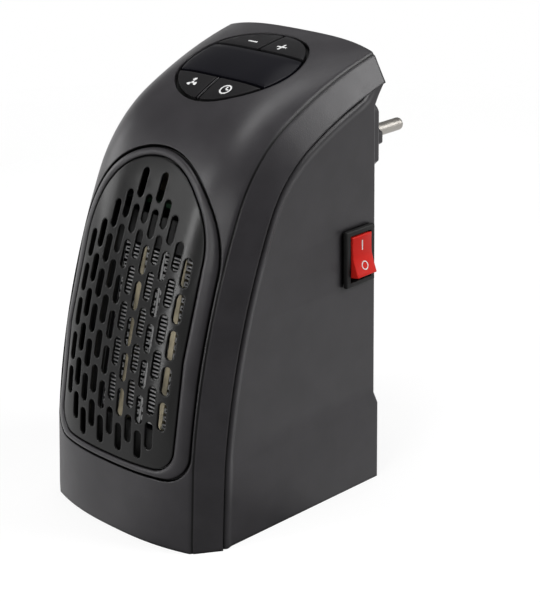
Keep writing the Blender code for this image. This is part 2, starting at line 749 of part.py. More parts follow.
def front_shell_sections():
    """Rings of the front shell: foot plate, face, brow, deck and the hood's back edge."""
    stations = profile_stations()
    count = len(CROWN_COLUMN_SHARES)

    def foot_front(station):
        corner = parting_point(station, BAND_DROP, HOOD_LIP_Y, BODY_HALF_WIDTH - WALL)
        return [Vector((corner.x * (1.0 - step / count), corner.y, corner.z)) for step in range(count + 1)]

    def hood_bottom(inset):
        row = [off_ridge(BODY_HALF_WIDTH - WALL, line_end(BAND_DROP, HOOD_LIP_Y - inset), -BAND_DROP)]
        for x in front_columns():
            row.append(off_ridge(x, line_end(BAND_DROP, hood_rear_y(x) - inset), -BAND_DROP))
        return row

    sections = [(front_outer_row(0.0), foot_front(0.0)), (front_outer_row(WALL), foot_front(WALL))]
    floor = front_inner_row(WALL)
    sections.append((front_outer_row(WALL * 2), floor))
    for station in stations[1:-1]:
        sections.append((front_outer_row(station), front_inner_row(station)))
    near_end = RIDGE_LENGTH - SHELL_EDGE_ROUND * 2
    sections.append((front_outer_row(near_end - SHELL_EDGE_ROUND), front_inner_row(near_end)))
    sections.append((front_outer_row(near_end), front_inner_row(RIDGE_LENGTH)))
    sections.append((front_outer_row(RIDGE_LENGTH - SHELL_EDGE_ROUND), hood_bottom(WALL)))
    round_share = 1.0 - math.sqrt(0.5)
    last = front_outer_row(RIDGE_LENGTH - SHELL_EDGE_ROUND * round_share, SHELL_EDGE_ROUND * round_share)
    sections.append((last, hood_bottom(WALL / 2)))
    sections.append((front_outer_row(RIDGE_LENGTH, SHELL_EDGE_ROUND), hood_bottom(0.0)))
    return sections


def shell_screw_places():
    return [(side * SHELL_SCREW_X, height) for height in SHELL_SCREW_HEIGHTS for side in (-1, 1)]


def make_front_shell():
    shell = add_piece("front_shell", shell_solid(front_shell_sections()), "black_shell")
    posts = []
    post_end = BACK_Y - SCREW_BOSS_DEPTH - SEAT_GAP
    for x, z in shell_screw_places():
        posts.append(shell_post(x, z, post_end))
    fuse(shell, *posts)
    opening = sliced(
        flat_plate([bezel_outline(GROOVE_HALF_WIDTH)], -BAND_DROP, CROWN_HEIGHT + CUT_OVERRUN),
        profile_stations(),
    )
    panel = sliced(
        flat_plate([panel_outline(PANEL_GAP)], -BAND_DROP / 2, CROWN_HEIGHT + CUT_OVERRUN),
        profile_stations(),
    )
    bores = []
    for x, z in shell_screw_places():
        bores.append(rod_y(SCREW_RADIUS + SEAT_GAP, x, post_end - SCREW_LENGTH, post_end + CUT_OVERRUN, z))
    cut(shell, bent(opening, crowned=False), bent(panel, crowned=False), *bores)


def shell_y(x, z, level):
    """The y at which a level of the front shell passes a point in the front view."""
    stations = evenly(0.0, RIDGE_LENGTH, ROUND_STEPS * ROUND_STEPS)
    points = [on_shell(x, station, level) for station in stations]
    return float(np.interp(z, [point.z for point in points], [point.y for point in points]))


def shell_post(x, z, end):
    """Screw post that grows out of the middle of the front shell's wall."""
    post = rod_y(SHELL_POST_RADIUS, x, end - SHELL_POST_RADIUS, end, z)
    for vertex in post.vertices:
        if vertex.co.y < end - SHELL_POST_RADIUS / 2:
            vertex.co.y = shell_y(vertex.co.x, vertex.co.z, -WALL / 2)
    return post


def loop_solid(rings):
    """Closed ring swept through matching loops: each ring is a loop of points round the outline."""
    work = bmesh.new()
    loops = [[work.verts.new(point) for point in ring] for ring in rings]
    for first, second in zip(loops, loops[1:] + loops[:1]):
        for index in range(len(first)):
            following = (index + 1) % len(first)
            work.faces.new([first[index], first[following], second[following], second[index]])
    face_outwards(work)
    return mesh_from(work)


def grille_edge(grow):
    return grille_outline(
        GRILLE_HALF_WIDTH, GRILLE_BOTTOM, GRILLE_SHOULDER, GRILLE_APEX, GRILLE_CORNER, grow
    )


def make_grille_bezel():
    """Rounded ring between the shell's groove and the grille, with a shelf for the grille."""
    outer = bezel_outline(-GROOVE_HALF_WIDTH)
    flange = bezel_outline(GROOVE_HALF_WIDTH - SEAT_GAP)
    inner = grille_edge(SEAT_GAP)
    shelf = grille_edge(-BEZEL_SHELF_WIDTH)

    def between(share):
        pairs = zip(outer, inner)
        return [tuple(a + (b - a) * share for a, b in zip(*pair)) for pair in pairs]

    sections = [
        (flange, -BEZEL_BACK_DEPTH),
        (flange, -GROOVE_DEPTH),
        (outer, -GROOVE_DEPTH),
        (outer, -BEZEL_BEAD_HEIGHT),
        (between(BEAD_CREST_SHARES[0]), BEZEL_BEAD_HEIGHT),
        (between(BEAD_CREST_SHARES[1]), BEZEL_BEAD_HEIGHT),
        (inner, -BEZEL_BEAD_HEIGHT),
        (inner, -BEZEL_SHELF_DEPTH),
        (shelf, -BEZEL_SHELF_DEPTH),
        (shelf, -BEZEL_BACK_DEPTH),
    ]
    rings = [[on_shell(x, station, level) for x, station in loop] for loop, level in sections]
    add_piece("grille_bezel", loop_solid(rings), "gloss_black")


def slot_loop(column, station):
    """Slot with round ends, its corners clockwise."""
    radius = SLOT_WIDTH / 2
    straight = SLOT_LENGTH / 2 - radius
    points = []
    for end in (1, -1):
        for step in range(SLOT_END_STEPS + 1):
            angle = math.pi * step / SLOT_END_STEPS
            across = -math.cos(angle) * radius * end
            points.append((column * SLOT_COLUMN_PITCH + across, station + end * (straight + math.sin(angle) * radius)))
    return points


def slot_loops():
    loops = []
    for first, rows in ((SLOT_TOP_ROW, SLOT_COLUMNS_BY_ROW), (SLOT_TOP_ROW - SLOT_STAGGER, STAGGERED_COLUMNS_BY_ROW)):
        for row, columns in enumerate(rows):
            for column in columns:
                loops.append(slot_loop(column, first - row * SLOT_ROW_PITCH))
    return loops


def inside(point, loop):
    """Whether a flat point lies inside a closed loop."""
    crossings = 0
    for (ax, ay), (bx, by) in zip(loop, loop[1:] + loop[:1]):
        if (ay > point.y) != (by > point.y) and point.x < ax + (bx - ax) * (point.y - ay) / (by - ay):
            crossings += 1
    return crossings % 2 == 1


def evenly_filled_plate(outline, holes, low, high):
    """Plate whose flat faces are short, well-shaped triangles, so that it can bend smoothly."""
    points = []
    edges = []
    for loop in [outline] + holes:
        start = len(points)
        points += [Vector(point) for point in loop]
        edges += [(start + index, start + (index + 1) % len(loop)) for index in range(len(loop))]
    filled = delaunay_2d_cdt(points, edges, [], 0, SEAT_GAP / 100)
    work = bmesh.new()
    corners = [work.verts.new((point.x, point.y, high)) for point in filled[0]]
    for face in filled[2]:
        centre = sum((filled[0][index] for index in face), Vector((0.0, 0.0))) / len(face)
        if inside(centre, outline) and not any(inside(centre, hole) for hole in holes):
            work.faces.new([corners[index] for index in face])
    bmesh.ops.delete(work, geom=[corner for corner in corners if not corner.link_faces], context="VERTS")
    made = bmesh.ops.extrude_face_region(work, geom=work.faces[:], use_keep_orig=True)["geom"]
    sunk = [item for item in made if isinstance(item, bmesh.types.BMVert)]
    bmesh.ops.translate(work, vec=(0.0, 0.0, low - high), verts=sunk)
    face_outwards(work)
    return mesh_from(work)


def make_front_grille():
    back = -GRILLE_FACE_DEPTH - GRILLE_THICKNESS
    plate = evenly_filled_plate(grille_edge(-SEAT_GAP), slot_loops(), back, -GRILLE_FACE_DEPTH)
    add_piece("front_grille", bent(plate), "gloss_black")


def panel_part(side, front, rear):
    """Part of the oval between two stations, and on one side of the middle if side isn't 0."""
    points = []
    for x, station in panel_outline(-PANEL_GAP):
        points.append((x, station))
    work = bmesh.new()
    corners = [work.verts.new((x, station, 0.0)) for x, station in points]
    work.faces.new(corners)
    planes = [((0.0, front, 0.0), (0.0, -1.0, 0.0)), ((0.0, rear, 0.0), (0.0, 1.0, 0.0))]
    if side:
        planes.append(((side * PANEL_GAP, 0.0, 0.0), (-side, 0.0, 0.0)))
    for place, normal in planes:
        geometry = work.verts[:] + work.edges[:] + work.faces[:]
        bmesh.ops.bisect_plane(work, geom=geometry, plane_co=place, plane_no=normal, clear_outer=True)
    face = work.faces[:][0]
    loop = [(vertex.co.x, vertex.co.y) for vertex in face.verts]
    work.free()
    return loop


def deck_facets():
    """Stations and columns at which the pieces of the control panel bend, like the shell round them."""
    columns = [side * share * RIDGE_HALF_WIDTH for share in CROWN_COLUMN_SHARES[1:-1] for side in (-1, 1)]
    return profile_stations(), columns


def panel_plate(loop, face_depth, thickness):
    return bent(sliced(flat_plate([loop], -face_depth - thickness, -face_depth), *deck_facets()))


def make_display_window():
    loop = panel_part(0, WINDOW_FRONT_STATION + PANEL_GAP, WINDOW_REAR_STATION - PANEL_GAP)
    add_piece("display_window", panel_plate(loop, WINDOW_FACE_DEPTH, WINDOW_THICKNESS), "smoked_window")


def button_frame(x, station):
    """Local frame on the deck: X across, Y up the deck, Z out of it."""
    _, _, heading = ridge(station)
    return Matrix.Translation(on_shell(x, station)) @ Matrix.Rotation(heading, 4, "X")


def board_frame():
    """Local frame of the control board: its top face, under the middle of the panel."""
    return button_frame(0.0, PANEL_STATION) @ Matrix.Translation((0.0, 0.0, -BOARD_DEPTH))


def stem_foot(x, station):
    """Where a button's stem meets the board's top, in the board's frame."""
    start = board_frame().inverted() @ on_shell(x, station)
    way = board_frame().inverted().to_3x3() @ (button_frame(x, station).to_3x3() @ Vector((0.0, 0.0, 1.0)))
    return start - way * (start.z / way.z)


def make_button(name, side, station, front, rear):
    loop = panel_part(side, front, rear)
    x = side * BUTTON_STEM_ACROSS
    frame = button_frame(x, station)
    mesh = panel_plate(loop, BUTTON_FACE_DEPTH, BUTTON_THICKNESS)
    origin = frame.translation
    button = add_piece(name, mesh, "button_black", origin)
    start = frame.inverted() @ board_frame() @ stem_foot(x, station)
    plunger = TACT_HEIGHT + TACT_PLUNGER_HEIGHT
    foot = start.z + plunger + BUTTON_TRAVEL + SEAT_GAP
    top = -BUTTON_FACE_DEPTH - BUTTON_THICKNESS / 2
    radius = BUTTON_STEM_RADIUS
    stem = turned([(0.0, top), (radius, top), (radius, foot), (0.0, foot)], SMALL_ROUND_STEPS)
    fuse(button, placed(stem, frame))


def make_buttons():
    front = PANEL_STATION - PANEL_HALF_ALONG * 2
    rear = PANEL_STATION + PANEL_HALF_ALONG * 2
    rear_start = WINDOW_REAR_STATION + PANEL_GAP
    front_end = WINDOW_FRONT_STATION - PANEL_GAP
    make_button("minus_button", -1, REAR_STEM_STATION, rear_start, rear)
    make_button("plus_button", 1, REAR_STEM_STATION, rear_start, rear)
    make_button("speed_button", -1, FRONT_STEM_STATION, front, front_end)
    make_button("timer_button", 1, FRONT_STEM_STATION, front, front_end)


def circle(x, y, radius, steps=SMALL_ROUND_STEPS):
    turns = [2 * math.pi * step / steps for step in range(steps)]
    return [(x + radius * math.cos(turn), y + radius * math.sin(turn)) for turn in turns]


def rectangle(half_width, half_height, x=0.0, y=0.0):
    return [
        (x - half_width, y - half_height),
        (x + half_width, y - half_height),
        (x + half_width, y + half_height),
        (x - half_width, y + half_height),
    ]


def make_panel_frame():
    """Tray under the shell's wall that guides the button stems and carries the window."""
    top = -WALL - SEAT_GAP
    holes = []
    for station in (FRONT_STEM_STATION, REAR_STEM_STATION):
        for side in (-1, 1):
            radius = BUTTON_STEM_RADIUS + STEM_HOLE_CLEARANCE
            holes.append(circle(side * BUTTON_STEM_ACROSS, station, radius))
    holes.append(rectangle(DISPLAY_HALF_ACROSS + SEAT_GAP, DISPLAY_HALF_ALONG + SEAT_GAP, 0.0, PANEL_STATION))
    plate = flat_plate([panel_outline(PANEL_FRAME_MARGIN)] + holes, top - PANEL_FRAME_THICKNESS, top)
    frame = add_piece("panel_frame", bent(sliced(plate, *deck_facets())), "inner_black")
    posts = []
    for side in (-1, 1):
        for end in (-1, 1):
            x = side * BOARD_POST_ACROSS
            height = board_post_height(x, end)
            profile = [(0.0, height), (BOARD_POST_RADIUS, height), (BOARD_POST_RADIUS, 0.0), (0.0, 0.0)]
            place = Matrix.Translation((x, end * BOARD_POST_ALONG, SEAT_GAP))
            posts.append(placed(turned(profile, SMALL_ROUND_STEPS), board_frame() @ place))
    fuse(frame, *posts)


def board_post_height(x, end):
    """Posts reach from the board into the middle of the tray's thickness."""
    station = PANEL_STATION + end * BOARD_POST_ALONG
    tray = on_shell(x, station, -WALL - SEAT_GAP - PANEL_FRAME_THICKNESS / 2)
    return (board_frame().inverted() @ tray).z - SEAT_GAP


def make_control_board():
    plate = flat_plate([rectangle(BOARD_HALF_ACROSS, BOARD_HALF_ALONG)], -BOARD_THICKNESS, 0.0)
    add_piece("control_board", placed(plate, board_frame()), "board_green")
    for end, station in (("front", FRONT_STEM_STATION), ("rear", REAR_STEM_STATION)):
        left, right = (tact_switch(stem_foot(side * BUTTON_STEM_ACROSS, station)) for side in (-1, 1))
        add_pair("tact_switch_" + end, placed(left, board_frame()), placed(right, board_frame()), "inner_black")
    low = (-DISPLAY_HALF_ACROSS, -DISPLAY_HALF_ALONG, SEAT_GAP)
    high = (DISPLAY_HALF_ACROSS, DISPLAY_HALF_ALONG, DISPLAY_HEIGHT)
    add_piece("display_module", placed(box(low, high), board_frame()), "gloss_black")


def tact_switch(foot):
    """Square push switch with a round plunger, as one turned and boxed solid on the board."""
    half = TACT_SIZE / 2
    body = box((foot.x - half, foot.y - half, SEAT_GAP), (foot.x + half, foot.y + half, TACT_HEIGHT))
    work = bmesh.new()
    work.from_mesh(body)
    lid = max(work.faces, key=lambda face: face.calc_center_median().z)
    bmesh.ops.inset_region(work, faces=[lid], thickness=half - TACT_PLUNGER_RADIUS)
    bmesh.ops.translate(work, vec=(0.0, 0.0, TACT_PLUNGER_HEIGHT), verts=lid.verts)
    return mesh_from(work)


def line_y(z, inset):
    """The y at which a line that runs inset below the ridge passes a height."""
    points = [ridge_line_point(station, inset) for station in line_stations()]
    return float(np.interp(z, [point.z for point in points], [point.y for point in points]))


def line_z(y, inset):
    """The height at which the same line passes a y."""
    points = [ridge_line_point(station, inset) for station in line_stations()]
    return float(np.interp(y, [point.y for point in points], [point.z for point in points]))


def line_stations():
    return evenly(0.0, RIDGE_LENGTH + STRIP_WIDTH, ROUND_STEPS * ROUND_STEPS)


def ridge_line_point(station, inset):
    return off_ridge(0.0, station, -inset)


def hood_lip():
    """Top edge of the rear shell's slanted shoulder, under the back of the hood (y, z)."""
    inset = BAND_DROP + SEAT_GAP
    return HOOD_LIP_Y, line_z(HOOD_LIP_Y, inset)


def slant_start():
    """Height at which the back wall starts to slant out to the hood."""
    return hood_lip()[1] - HOOD_SLANT_DROP


def back_y(x, z):
    """The back wall is upright and then slants out to the hood, bowed like the hood's back edge."""
    lip_y, lip_z = hood_lip()
    share = max(0.0, (z - slant_start()) / HOOD_SLANT_DROP)
    bow = hood_rear_y(x) - HOOD_REAR_Y
    return BACK_Y + (lip_y - BACK_Y + bow) * share


def rear_row(z, inner):
    """Points round the rear shell at a height, from the right rim to the middle of the back."""
    inset = BAND_DROP + SEAT_GAP
    wall = WALL if inner else 0.0
    back = back_y(RIDGE_HALF_WIDTH, z)
    strip_end = min(line_y(z, inset + STRIP_WIDTH), back - BACK_CORNER_RADIUS - WALL)
    front_side = rear_side = PANEL_HALF_WIDTH
    if z < SKIRT_HEIGHT + SKIRT_CHAMFER / 2:
        front_side = SKIRT_FRONT_HALF_WIDTH
        rear_side = SKIRT_REAR_HALF_WIDTH
    radius = max(BACK_CORNER_RADIUS - wall, BACK_CORNER_RADIUS / 2)
    corner = Vector((rear_side - wall - radius, back - wall - radius, z))
    row = [Vector((BODY_HALF_WIDTH - wall, line_y(z, inset), z)), Vector((front_side - wall, strip_end, z))]
    for turn in evenly(0.0, math.pi / 2, 2):
        row.append(corner + Vector((radius * math.cos(turn), radius * math.sin(turn), 0.0)))
    for share in BACK_COLUMN_SHARES:
        x = share * RIDGE_HALF_WIDTH
        row.append(Vector((x, back_y(x, z) - wall, z)))
    return row


def rear_heights():
    """Heights of the rear shell's rows: its rim follows the front shell's rows."""
    inset = BAND_DROP + SEAT_GAP
    skirt_top = SKIRT_HEIGHT + SKIRT_CHAMFER
    rim = [parting_point(station, inset, HOOD_LIP_Y, 0.0).z for station in profile_stations()]
    clear = WALL / 2
    slant = slant_start()
    upright = [z for z in rim if skirt_top + WALL < z < slant - clear]
    last = hood_lip()[1] - WALL * 2
    return [SKIRT_HEIGHT, skirt_top] + upright + [slant] + evenly(slant, last, 2)[1:]


def rear_shell_sections():
    """Rings of the rear shell: floor, skirt, panel, shoulder and the top edge under the hood."""
    inset = BAND_DROP + SEAT_GAP
    count = len(rear_row(0.0, False)) - 1

    def floor_front(z):
        corner = rear_row(z, True)[0]
        return [Vector((corner.x * (1.0 - step / count), corner.y, z)) for step in range(count + 1)]

    def top_row(inner):
        last = rear_heights()[-1]
        row = rear_row(last, inner)
        side = row[0].x
        rim_y = line_y(last, inset)
        lip_y = hood_lip()[0]
        raised = []
        for point in row:
            base = back_y(point.x, last) - (WALL if inner else 0.0)
            share = max(0.0, (point.y - rim_y) / (base - rim_y))
            target = lip_y + hood_rear_y(point.x) - HOOD_REAR_Y - (WALL if inner else 0.0)
            y = rim_y + WALL + (target - rim_y - WALL) * share
            x = min(point.x * BODY_HALF_WIDTH / PANEL_HALF_WIDTH, side)
            raised.append(Vector((x, y, line_z(y, inset))))
        return raised

    sections = [
        (rear_row(0.0, False), floor_front(0.0)),
        (rear_row(WALL, False), floor_front(WALL)),
        (rear_row(WALL * 2, False), rear_row(WALL, True)),
    ]
    for z in rear_heights():
        sections.append((rear_row(z, False), rear_row(z, True)))
    sections.append((top_row(False), top_row(True)))
    return sections


def vent_cutters():
    cutters = []
    for row in range(VENT_ROWS):
        z = VENT_BOTTOM + row * VENT_PITCH
        for side in (-1, 1):
            low = (side * VENT_X - VENT_HALF_LENGTH, BACK_Y - CUT_OVERRUN, z - VENT_HEIGHT / 2)
            high = (side * VENT_X + VENT_HALF_LENGTH, BACK_Y + CUT_OVERRUN, z + VENT_HEIGHT / 2)
            cutters.append(box(low, high))
    return cutters


def make_rear_shell():
    shell = add_piece("rear_shell", shell_solid(rear_shell_sections()), "black_shell")
    inner_wall = BACK_Y - WALL
    sink = BACK_Y - WALL / 2
    shapes = []
    for x, z in shell_screw_places():
        shapes.append(rod_y(SCREW_BOSS_RADIUS, x, BACK_Y - SCREW_BOSS_DEPTH, sink, z, ROUND_STEPS))
    for side in (-1, 1):
        bracket_seat = BRACKET_Y + BRACKET_THICKNESS + SEAT_GAP
        shapes.append(rod_y(POST_RADIUS, side * BRACKET_POST_X, bracket_seat, sink, FAN_Z))
        shapes.append(rod_y(POST_RADIUS, side * CONTACT_POST_X, contact_seat(), sink, PLUG_Z))
        inner_side = PANEL_HALF_WIDTH - WALL
        rail = (
            (side * (inner_side - RAIL_DEPTH), POWER_BOARD_FRONT_Y, POWER_BOARD_Z - SEAT_GAP - RAIL_HEIGHT),
            (side * (inner_side + WALL / 2), POWER_BOARD_REAR_Y, POWER_BOARD_Z - SEAT_GAP),
        )
        low = [min(pair) for pair in zip(*rail)]
        high = [max(pair) for pair in zip(*rail)]
        shapes.append(box(low, high))
    fuse(shell, *shapes)
    well_floor = BACK_Y - SCREW_WELL_DEPTH
    cutters = vent_cutters()
    for x, z in shell_screw_places():
        profile = [
            (0.0, CUT_OVERRUN),
            (SCREW_WELL_RADIUS, CUT_OVERRUN),
            (SCREW_WELL_RADIUS, -SCREW_WELL_DEPTH),
            (SCREW_RADIUS + SEAT_GAP, -SCREW_WELL_DEPTH),
            (SCREW_RADIUS + SEAT_GAP, -SCREW_BOSS_DEPTH - CUT_OVERRUN),
            (0.0, -SCREW_BOSS_DEPTH - CUT_OVERRUN),
        ]
        cutters.append(along_y(turned(profile, ROUND_STEPS), x, BACK_Y, z))
    hole = PLUG_NECK_RADIUS + PLUG_HUB_CLEARANCE
    cutters.append(rod_y(hole, 0.0, inner_wall - CUT_OVERRUN, BACK_Y + CUT_OVERRUN, PLUG_Z, DRUM_STEPS))
    seat = PANEL_HALF_WIDTH - WALL - CUT_OVERRUN
    low = (seat, SWITCH_Y - SWITCH_BODY_HALF_WIDTH - SEAT_GAP, SWITCH_Z - SWITCH_BODY_HALF_HEIGHT - SEAT_GAP)
    high = (
        PANEL_HALF_WIDTH + CUT_OVERRUN,
        SWITCH_Y + SWITCH_BODY_HALF_WIDTH + SEAT_GAP,
        SWITCH_Z + SWITCH_BODY_HALF_HEIGHT + SEAT_GAP,
    )
    cutters.append(box(low, high))
    for side in (-1, 1):
        for post_x, seat_y, z in (
            (BRACKET_POST_X, BRACKET_Y + BRACKET_THICKNESS, FAN_Z),
            (CONTACT_POST_X, contact_seat(), PLUG_Z),
        ):
            radius = INNER_SCREW_RADIUS + SEAT_GAP
            cutters.append(rod_y(radius, side * post_x, seat_y - CUT_OVERRUN, seat_y + INNER_SCREW_LENGTH, z))
    cut(shell, *cutters)


def switch_frame_matrix():
    """Local frame of the switch: X out of the panel, Y to the back, Z up; zero on the panel."""
    return Matrix.Translation((PANEL_HALF_WIDTH, SWITCH_Y, SWITCH_Z))


def rocker_pocket_half_length():
    """Half length that the rocker's corners need at both ends of the travel."""
    reach = ROCKER_HALF_LENGTH * math.cos(ROCKER_TILT)
    height = ROCKER_END_HEIGHT * math.sin(ROCKER_TILT)
    return reach + height + ROCKER_CLEARANCE


def make_switch_frame():
    flange_top = SEAT_GAP + SWITCH_FLANGE_THICKNESS
    flange = box(
        (SEAT_GAP, -SWITCH_FLANGE_HALF_WIDTH, -SWITCH_FLANGE_HALF_HEIGHT),
        (flange_top, SWITCH_FLANGE_HALF_WIDTH, SWITCH_FLANGE_HALF_HEIGHT),
    )
    frame = add_piece("switch_frame", placed(flange, switch_frame_matrix()), "inner_black")
    body = box(
        (-SWITCH_BODY_DEPTH, -SWITCH_BODY_HALF_WIDTH, -SWITCH_BODY_HALF_HEIGHT),
        (SEAT_GAP + SWITCH_FLANGE_THICKNESS / 2, SWITCH_BODY_HALF_WIDTH, SWITCH_BODY_HALF_HEIGHT),
    )
    fuse(frame, placed(body, switch_frame_matrix()))
    pocket = box(
        (-SWITCH_BODY_DEPTH + SWITCH_FLOOR, -ROCKER_HALF_WIDTH - ROCKER_CLEARANCE, -rocker_pocket_half_length()),
        (flange_top + CUT_OVERRUN, ROCKER_HALF_WIDTH + ROCKER_CLEARANCE, rocker_pocket_half_length()),
    )
    bearing = rod_y(
        ROCKER_PIN_RADIUS + SEAT_GAP / 3,
        -ROCKER_PIVOT_DEPTH,
        -ROCKER_HALF_WIDTH - ROCKER_PIN_LENGTH - SEAT_GAP,
        ROCKER_HALF_WIDTH + ROCKER_PIN_LENGTH + SEAT_GAP,
        0.0,
        ROUND_STEPS,
    )
    cut(frame, placed(pocket, switch_frame_matrix()))
    cut(frame, placed(bearing, switch_frame_matrix()))


def make_switch_rocker():
    """Rocker with two sloping faces, pushed in at the top, as it rests in the on position."""
    outline = [
        (ROCKER_CENTRE_HEIGHT, 0.0),
        (ROCKER_END_HEIGHT, ROCKER_HALF_LENGTH),
        (0.0, ROCKER_HALF_LENGTH),
        (-ROCKER_SKIRT_DEPTH, ROCKER_SKIRT_HALF_LENGTH),
        (-ROCKER_SKIRT_DEPTH, -ROCKER_SKIRT_HALF_LENGTH),
        (0.0, -ROCKER_HALF_LENGTH),
        (ROCKER_END_HEIGHT, -ROCKER_HALF_LENGTH),
    ]
    plate = flat_plate([outline], -ROCKER_HALF_WIDTH, ROCKER_HALF_WIDTH)
    upright = Matrix.Rotation(math.pi / 2, 4, "X")
    pivot = switch_frame_matrix() @ Matrix.Translation((-ROCKER_PIVOT_DEPTH, 0.0, 0.0))
    tilt = Matrix.Rotation(-ROCKER_TILT, 4, "Y")
    rocker = add_piece("switch_rocker", placed(plate, pivot @ tilt @ upright), "red_rocker", pivot.translation)
    reach = ROCKER_HALF_WIDTH + ROCKER_PIN_LENGTH
    fuse(rocker, placed(rod_y(ROCKER_PIN_RADIUS, 0.0, -reach, reach, 0.0, ROUND_STEPS), pivot))


def make_switch_terminals():
    blades = []
    for side in (-1, 1):
        z = side * SWITCH_BLADE_PITCH / 2
        top = -SWITCH_BODY_DEPTH - SEAT_GAP
        low = (top - SWITCH_BLADE_LENGTH, -SWITCH_BLADE_WIDTH / 2, z - SWITCH_BLADE_THICKNESS / 2)
        high = (top, SWITCH_BLADE_WIDTH / 2, z + SWITCH_BLADE_THICKNESS / 2)
        blades.append(box(low, high))
    for name, blade in zip(("switch_terminal_low", "switch_terminal_high"), blades):
        add_piece(name, placed(blade, switch_frame_matrix()), "brass_strip")


def plug_stack():
    """The plug's faces along Y: inner end, drum start, drum end and contact face."""
    start = BACK_Y + SEAT_GAP
    inner = BACK_Y - WALL - PLUG_NECK_INSET
    return inner, start, start + PLUG_DRUM_LENGTH, start + PLUG_DRUM_LENGTH + PLUG_FACE_HEIGHT


def ring_y_range():
    high = BACK_Y - WALL - SEAT_GAP
    return high - PLUG_RING_THICKNESS, high


def contact_plane():
    """Front of the two fixed contact strips, just behind the pins' inner ends."""
    return plug_stack()[0] - SEAT_GAP


def contact_seat():
    return contact_plane() - PLUG_CONTACT_THICKNESS - SEAT_GAP


def eight_sided(mesh):
    """Push the drum's rings out to upright and level sides with cut corners; the neck stays round."""
    for vertex in mesh.vertices:
        x, z = vertex.co.x, vertex.co.z - PLUG_Z
        radius = math.hypot(x, z)
        if radius > PLUG_NECK_RADIUS + SEAT_GAP:
            corner = (abs(x) + abs(z)) * math.sqrt(0.5) * (PLUG_TOP_CORNER_SHARE if z > 0.0 else 1.0)
            reach = radius / max(abs(x), abs(z), corner)
            vertex.co.x, vertex.co.z = x * reach, PLUG_Z + z * reach
    return mesh


def make_plug():
    inner, start, end, face = plug_stack()
    origin = (0.0, BACK_Y, PLUG_Z)
    groove_low, groove_high = ring_y_range()
    groove_radius = PLUG_NECK_RADIUS - PLUG_RING_THICKNESS / 2
    profile = [
        (0.0, end - inner),
        (PLUG_DRUM_RADIUS - PLUG_DRUM_EDGE, end - inner),
        (PLUG_DRUM_RADIUS - PLUG_DRUM_EDGE / 3, end - inner - PLUG_DRUM_EDGE / 3),
        (PLUG_DRUM_RADIUS, end - inner - PLUG_DRUM_EDGE),
        (PLUG_DRUM_RADIUS, start - inner),
        (PLUG_NECK_RADIUS, start - inner),
        (PLUG_NECK_RADIUS, groove_high + SEAT_GAP / 2 - inner),
        (groove_radius, groove_high + SEAT_GAP / 2 - inner),
        (groove_radius, groove_low - SEAT_GAP / 2 - inner),
        (PLUG_NECK_RADIUS, groove_low - SEAT_GAP / 2 - inner),
        (PLUG_NECK_RADIUS, 0.0),
        (0.0, 0.0),
    ]
    drum = eight_sided(along_y(turned(profile, DRUM_STEPS), 0.0, inner, PLUG_Z))
    body = add_piece("plug_body", drum, "black_shell", origin)
    outline = [
        (PLUG_FACE_HALF_LENGTH, -PLUG_FACE_TIP_HALF_WIDTH),
        (PLUG_FACE_HALF_LENGTH, PLUG_FACE_TIP_HALF_WIDTH),
        (PIN_HALF_PITCH, PLUG_FACE_HALF_WIDTH),
        (-PIN_HALF_PITCH, PLUG_FACE_HALF_WIDTH),
        (-PLUG_FACE_HALF_LENGTH, PLUG_FACE_TIP_HALF_WIDTH),
        (-PLUG_FACE_HALF_LENGTH, -PLUG_FACE_TIP_HALF_WIDTH),
        (-PIN_HALF_PITCH, -PLUG_FACE_HALF_WIDTH),
        (PIN_HALF_PITCH, -PLUG_FACE_HALF_WIDTH),
    ]
    platform = flat_plate([outline], end - PLUG_DRUM_EDGE, face)
    turn = Matrix.Translation((0.0, 0.0, PLUG_Z)) @ Matrix.Rotation(-math.pi / 2, 4, "X")
    fuse(body, placed(platform, turn))
    bores = []
    pins = []
    for side in (-1, 1):
        x = side * PIN_HALF_PITCH
        bore = PIN_RADIUS + SEAT_GAP
        bores.append(rod_y(bore, x, inner - CUT_OVERRUN, face + CUT_OVERRUN, PLUG_Z, ROUND_STEPS))
        tip = face + PIN_LENGTH - inner
        pin = [
            (0.0, tip),
            (PIN_TIP_RADIUS, tip),
            (PIN_RADIUS, tip - PIN_TIP_LENGTH),
            (PIN_RADIUS, 0.0),
            (0.0, 0.0),
        ]
        pins.append(along_y(turned(pin, ROUND_STEPS), x, inner, PLUG_Z))
    cut(body, *bores)
    add_pair("plug_pin", pins[0], pins[1], "nickel_plate", origin)
    hub = groove_radius + SEAT_GAP
    ring = [
        (PLUG_RING_RADIUS, PLUG_RING_THICKNESS),
        (PLUG_RING_RADIUS, 0.0),
        (hub, 0.0),
        (hub, PLUG_RING_THICKNESS),
        (PLUG_RING_RADIUS, PLUG_RING_THICKNESS),
    ]
    mesh = along_y(turned(ring, DRUM_STEPS), 0.0, groove_low, PLUG_Z)
    add_piece("plug_retaining_ring", mesh, "zinc_steel", origin)


def half_ring(side, gap):
    """Half of a flat ring on one side of x = 0, as a loop in the plane of the back wall."""
    outer = PIN_HALF_PITCH + PLUG_CONTACT_WIDTH / 2
    inner = PIN_HALF_PITCH - PLUG_CONTACT_WIDTH / 2
    count = ROUND_STEPS // 2
    points = []
    for radius, steps in ((outer, range(count + 1)), (inner, range(count, -1, -1))):
        start = math.asin(gap / radius)
        for step in steps:
            angle = -math.pi / 2 + start + (math.pi - 2 * start) * step / count
            points.append((side * radius * math.cos(angle), radius * math.sin(angle)))
    return points


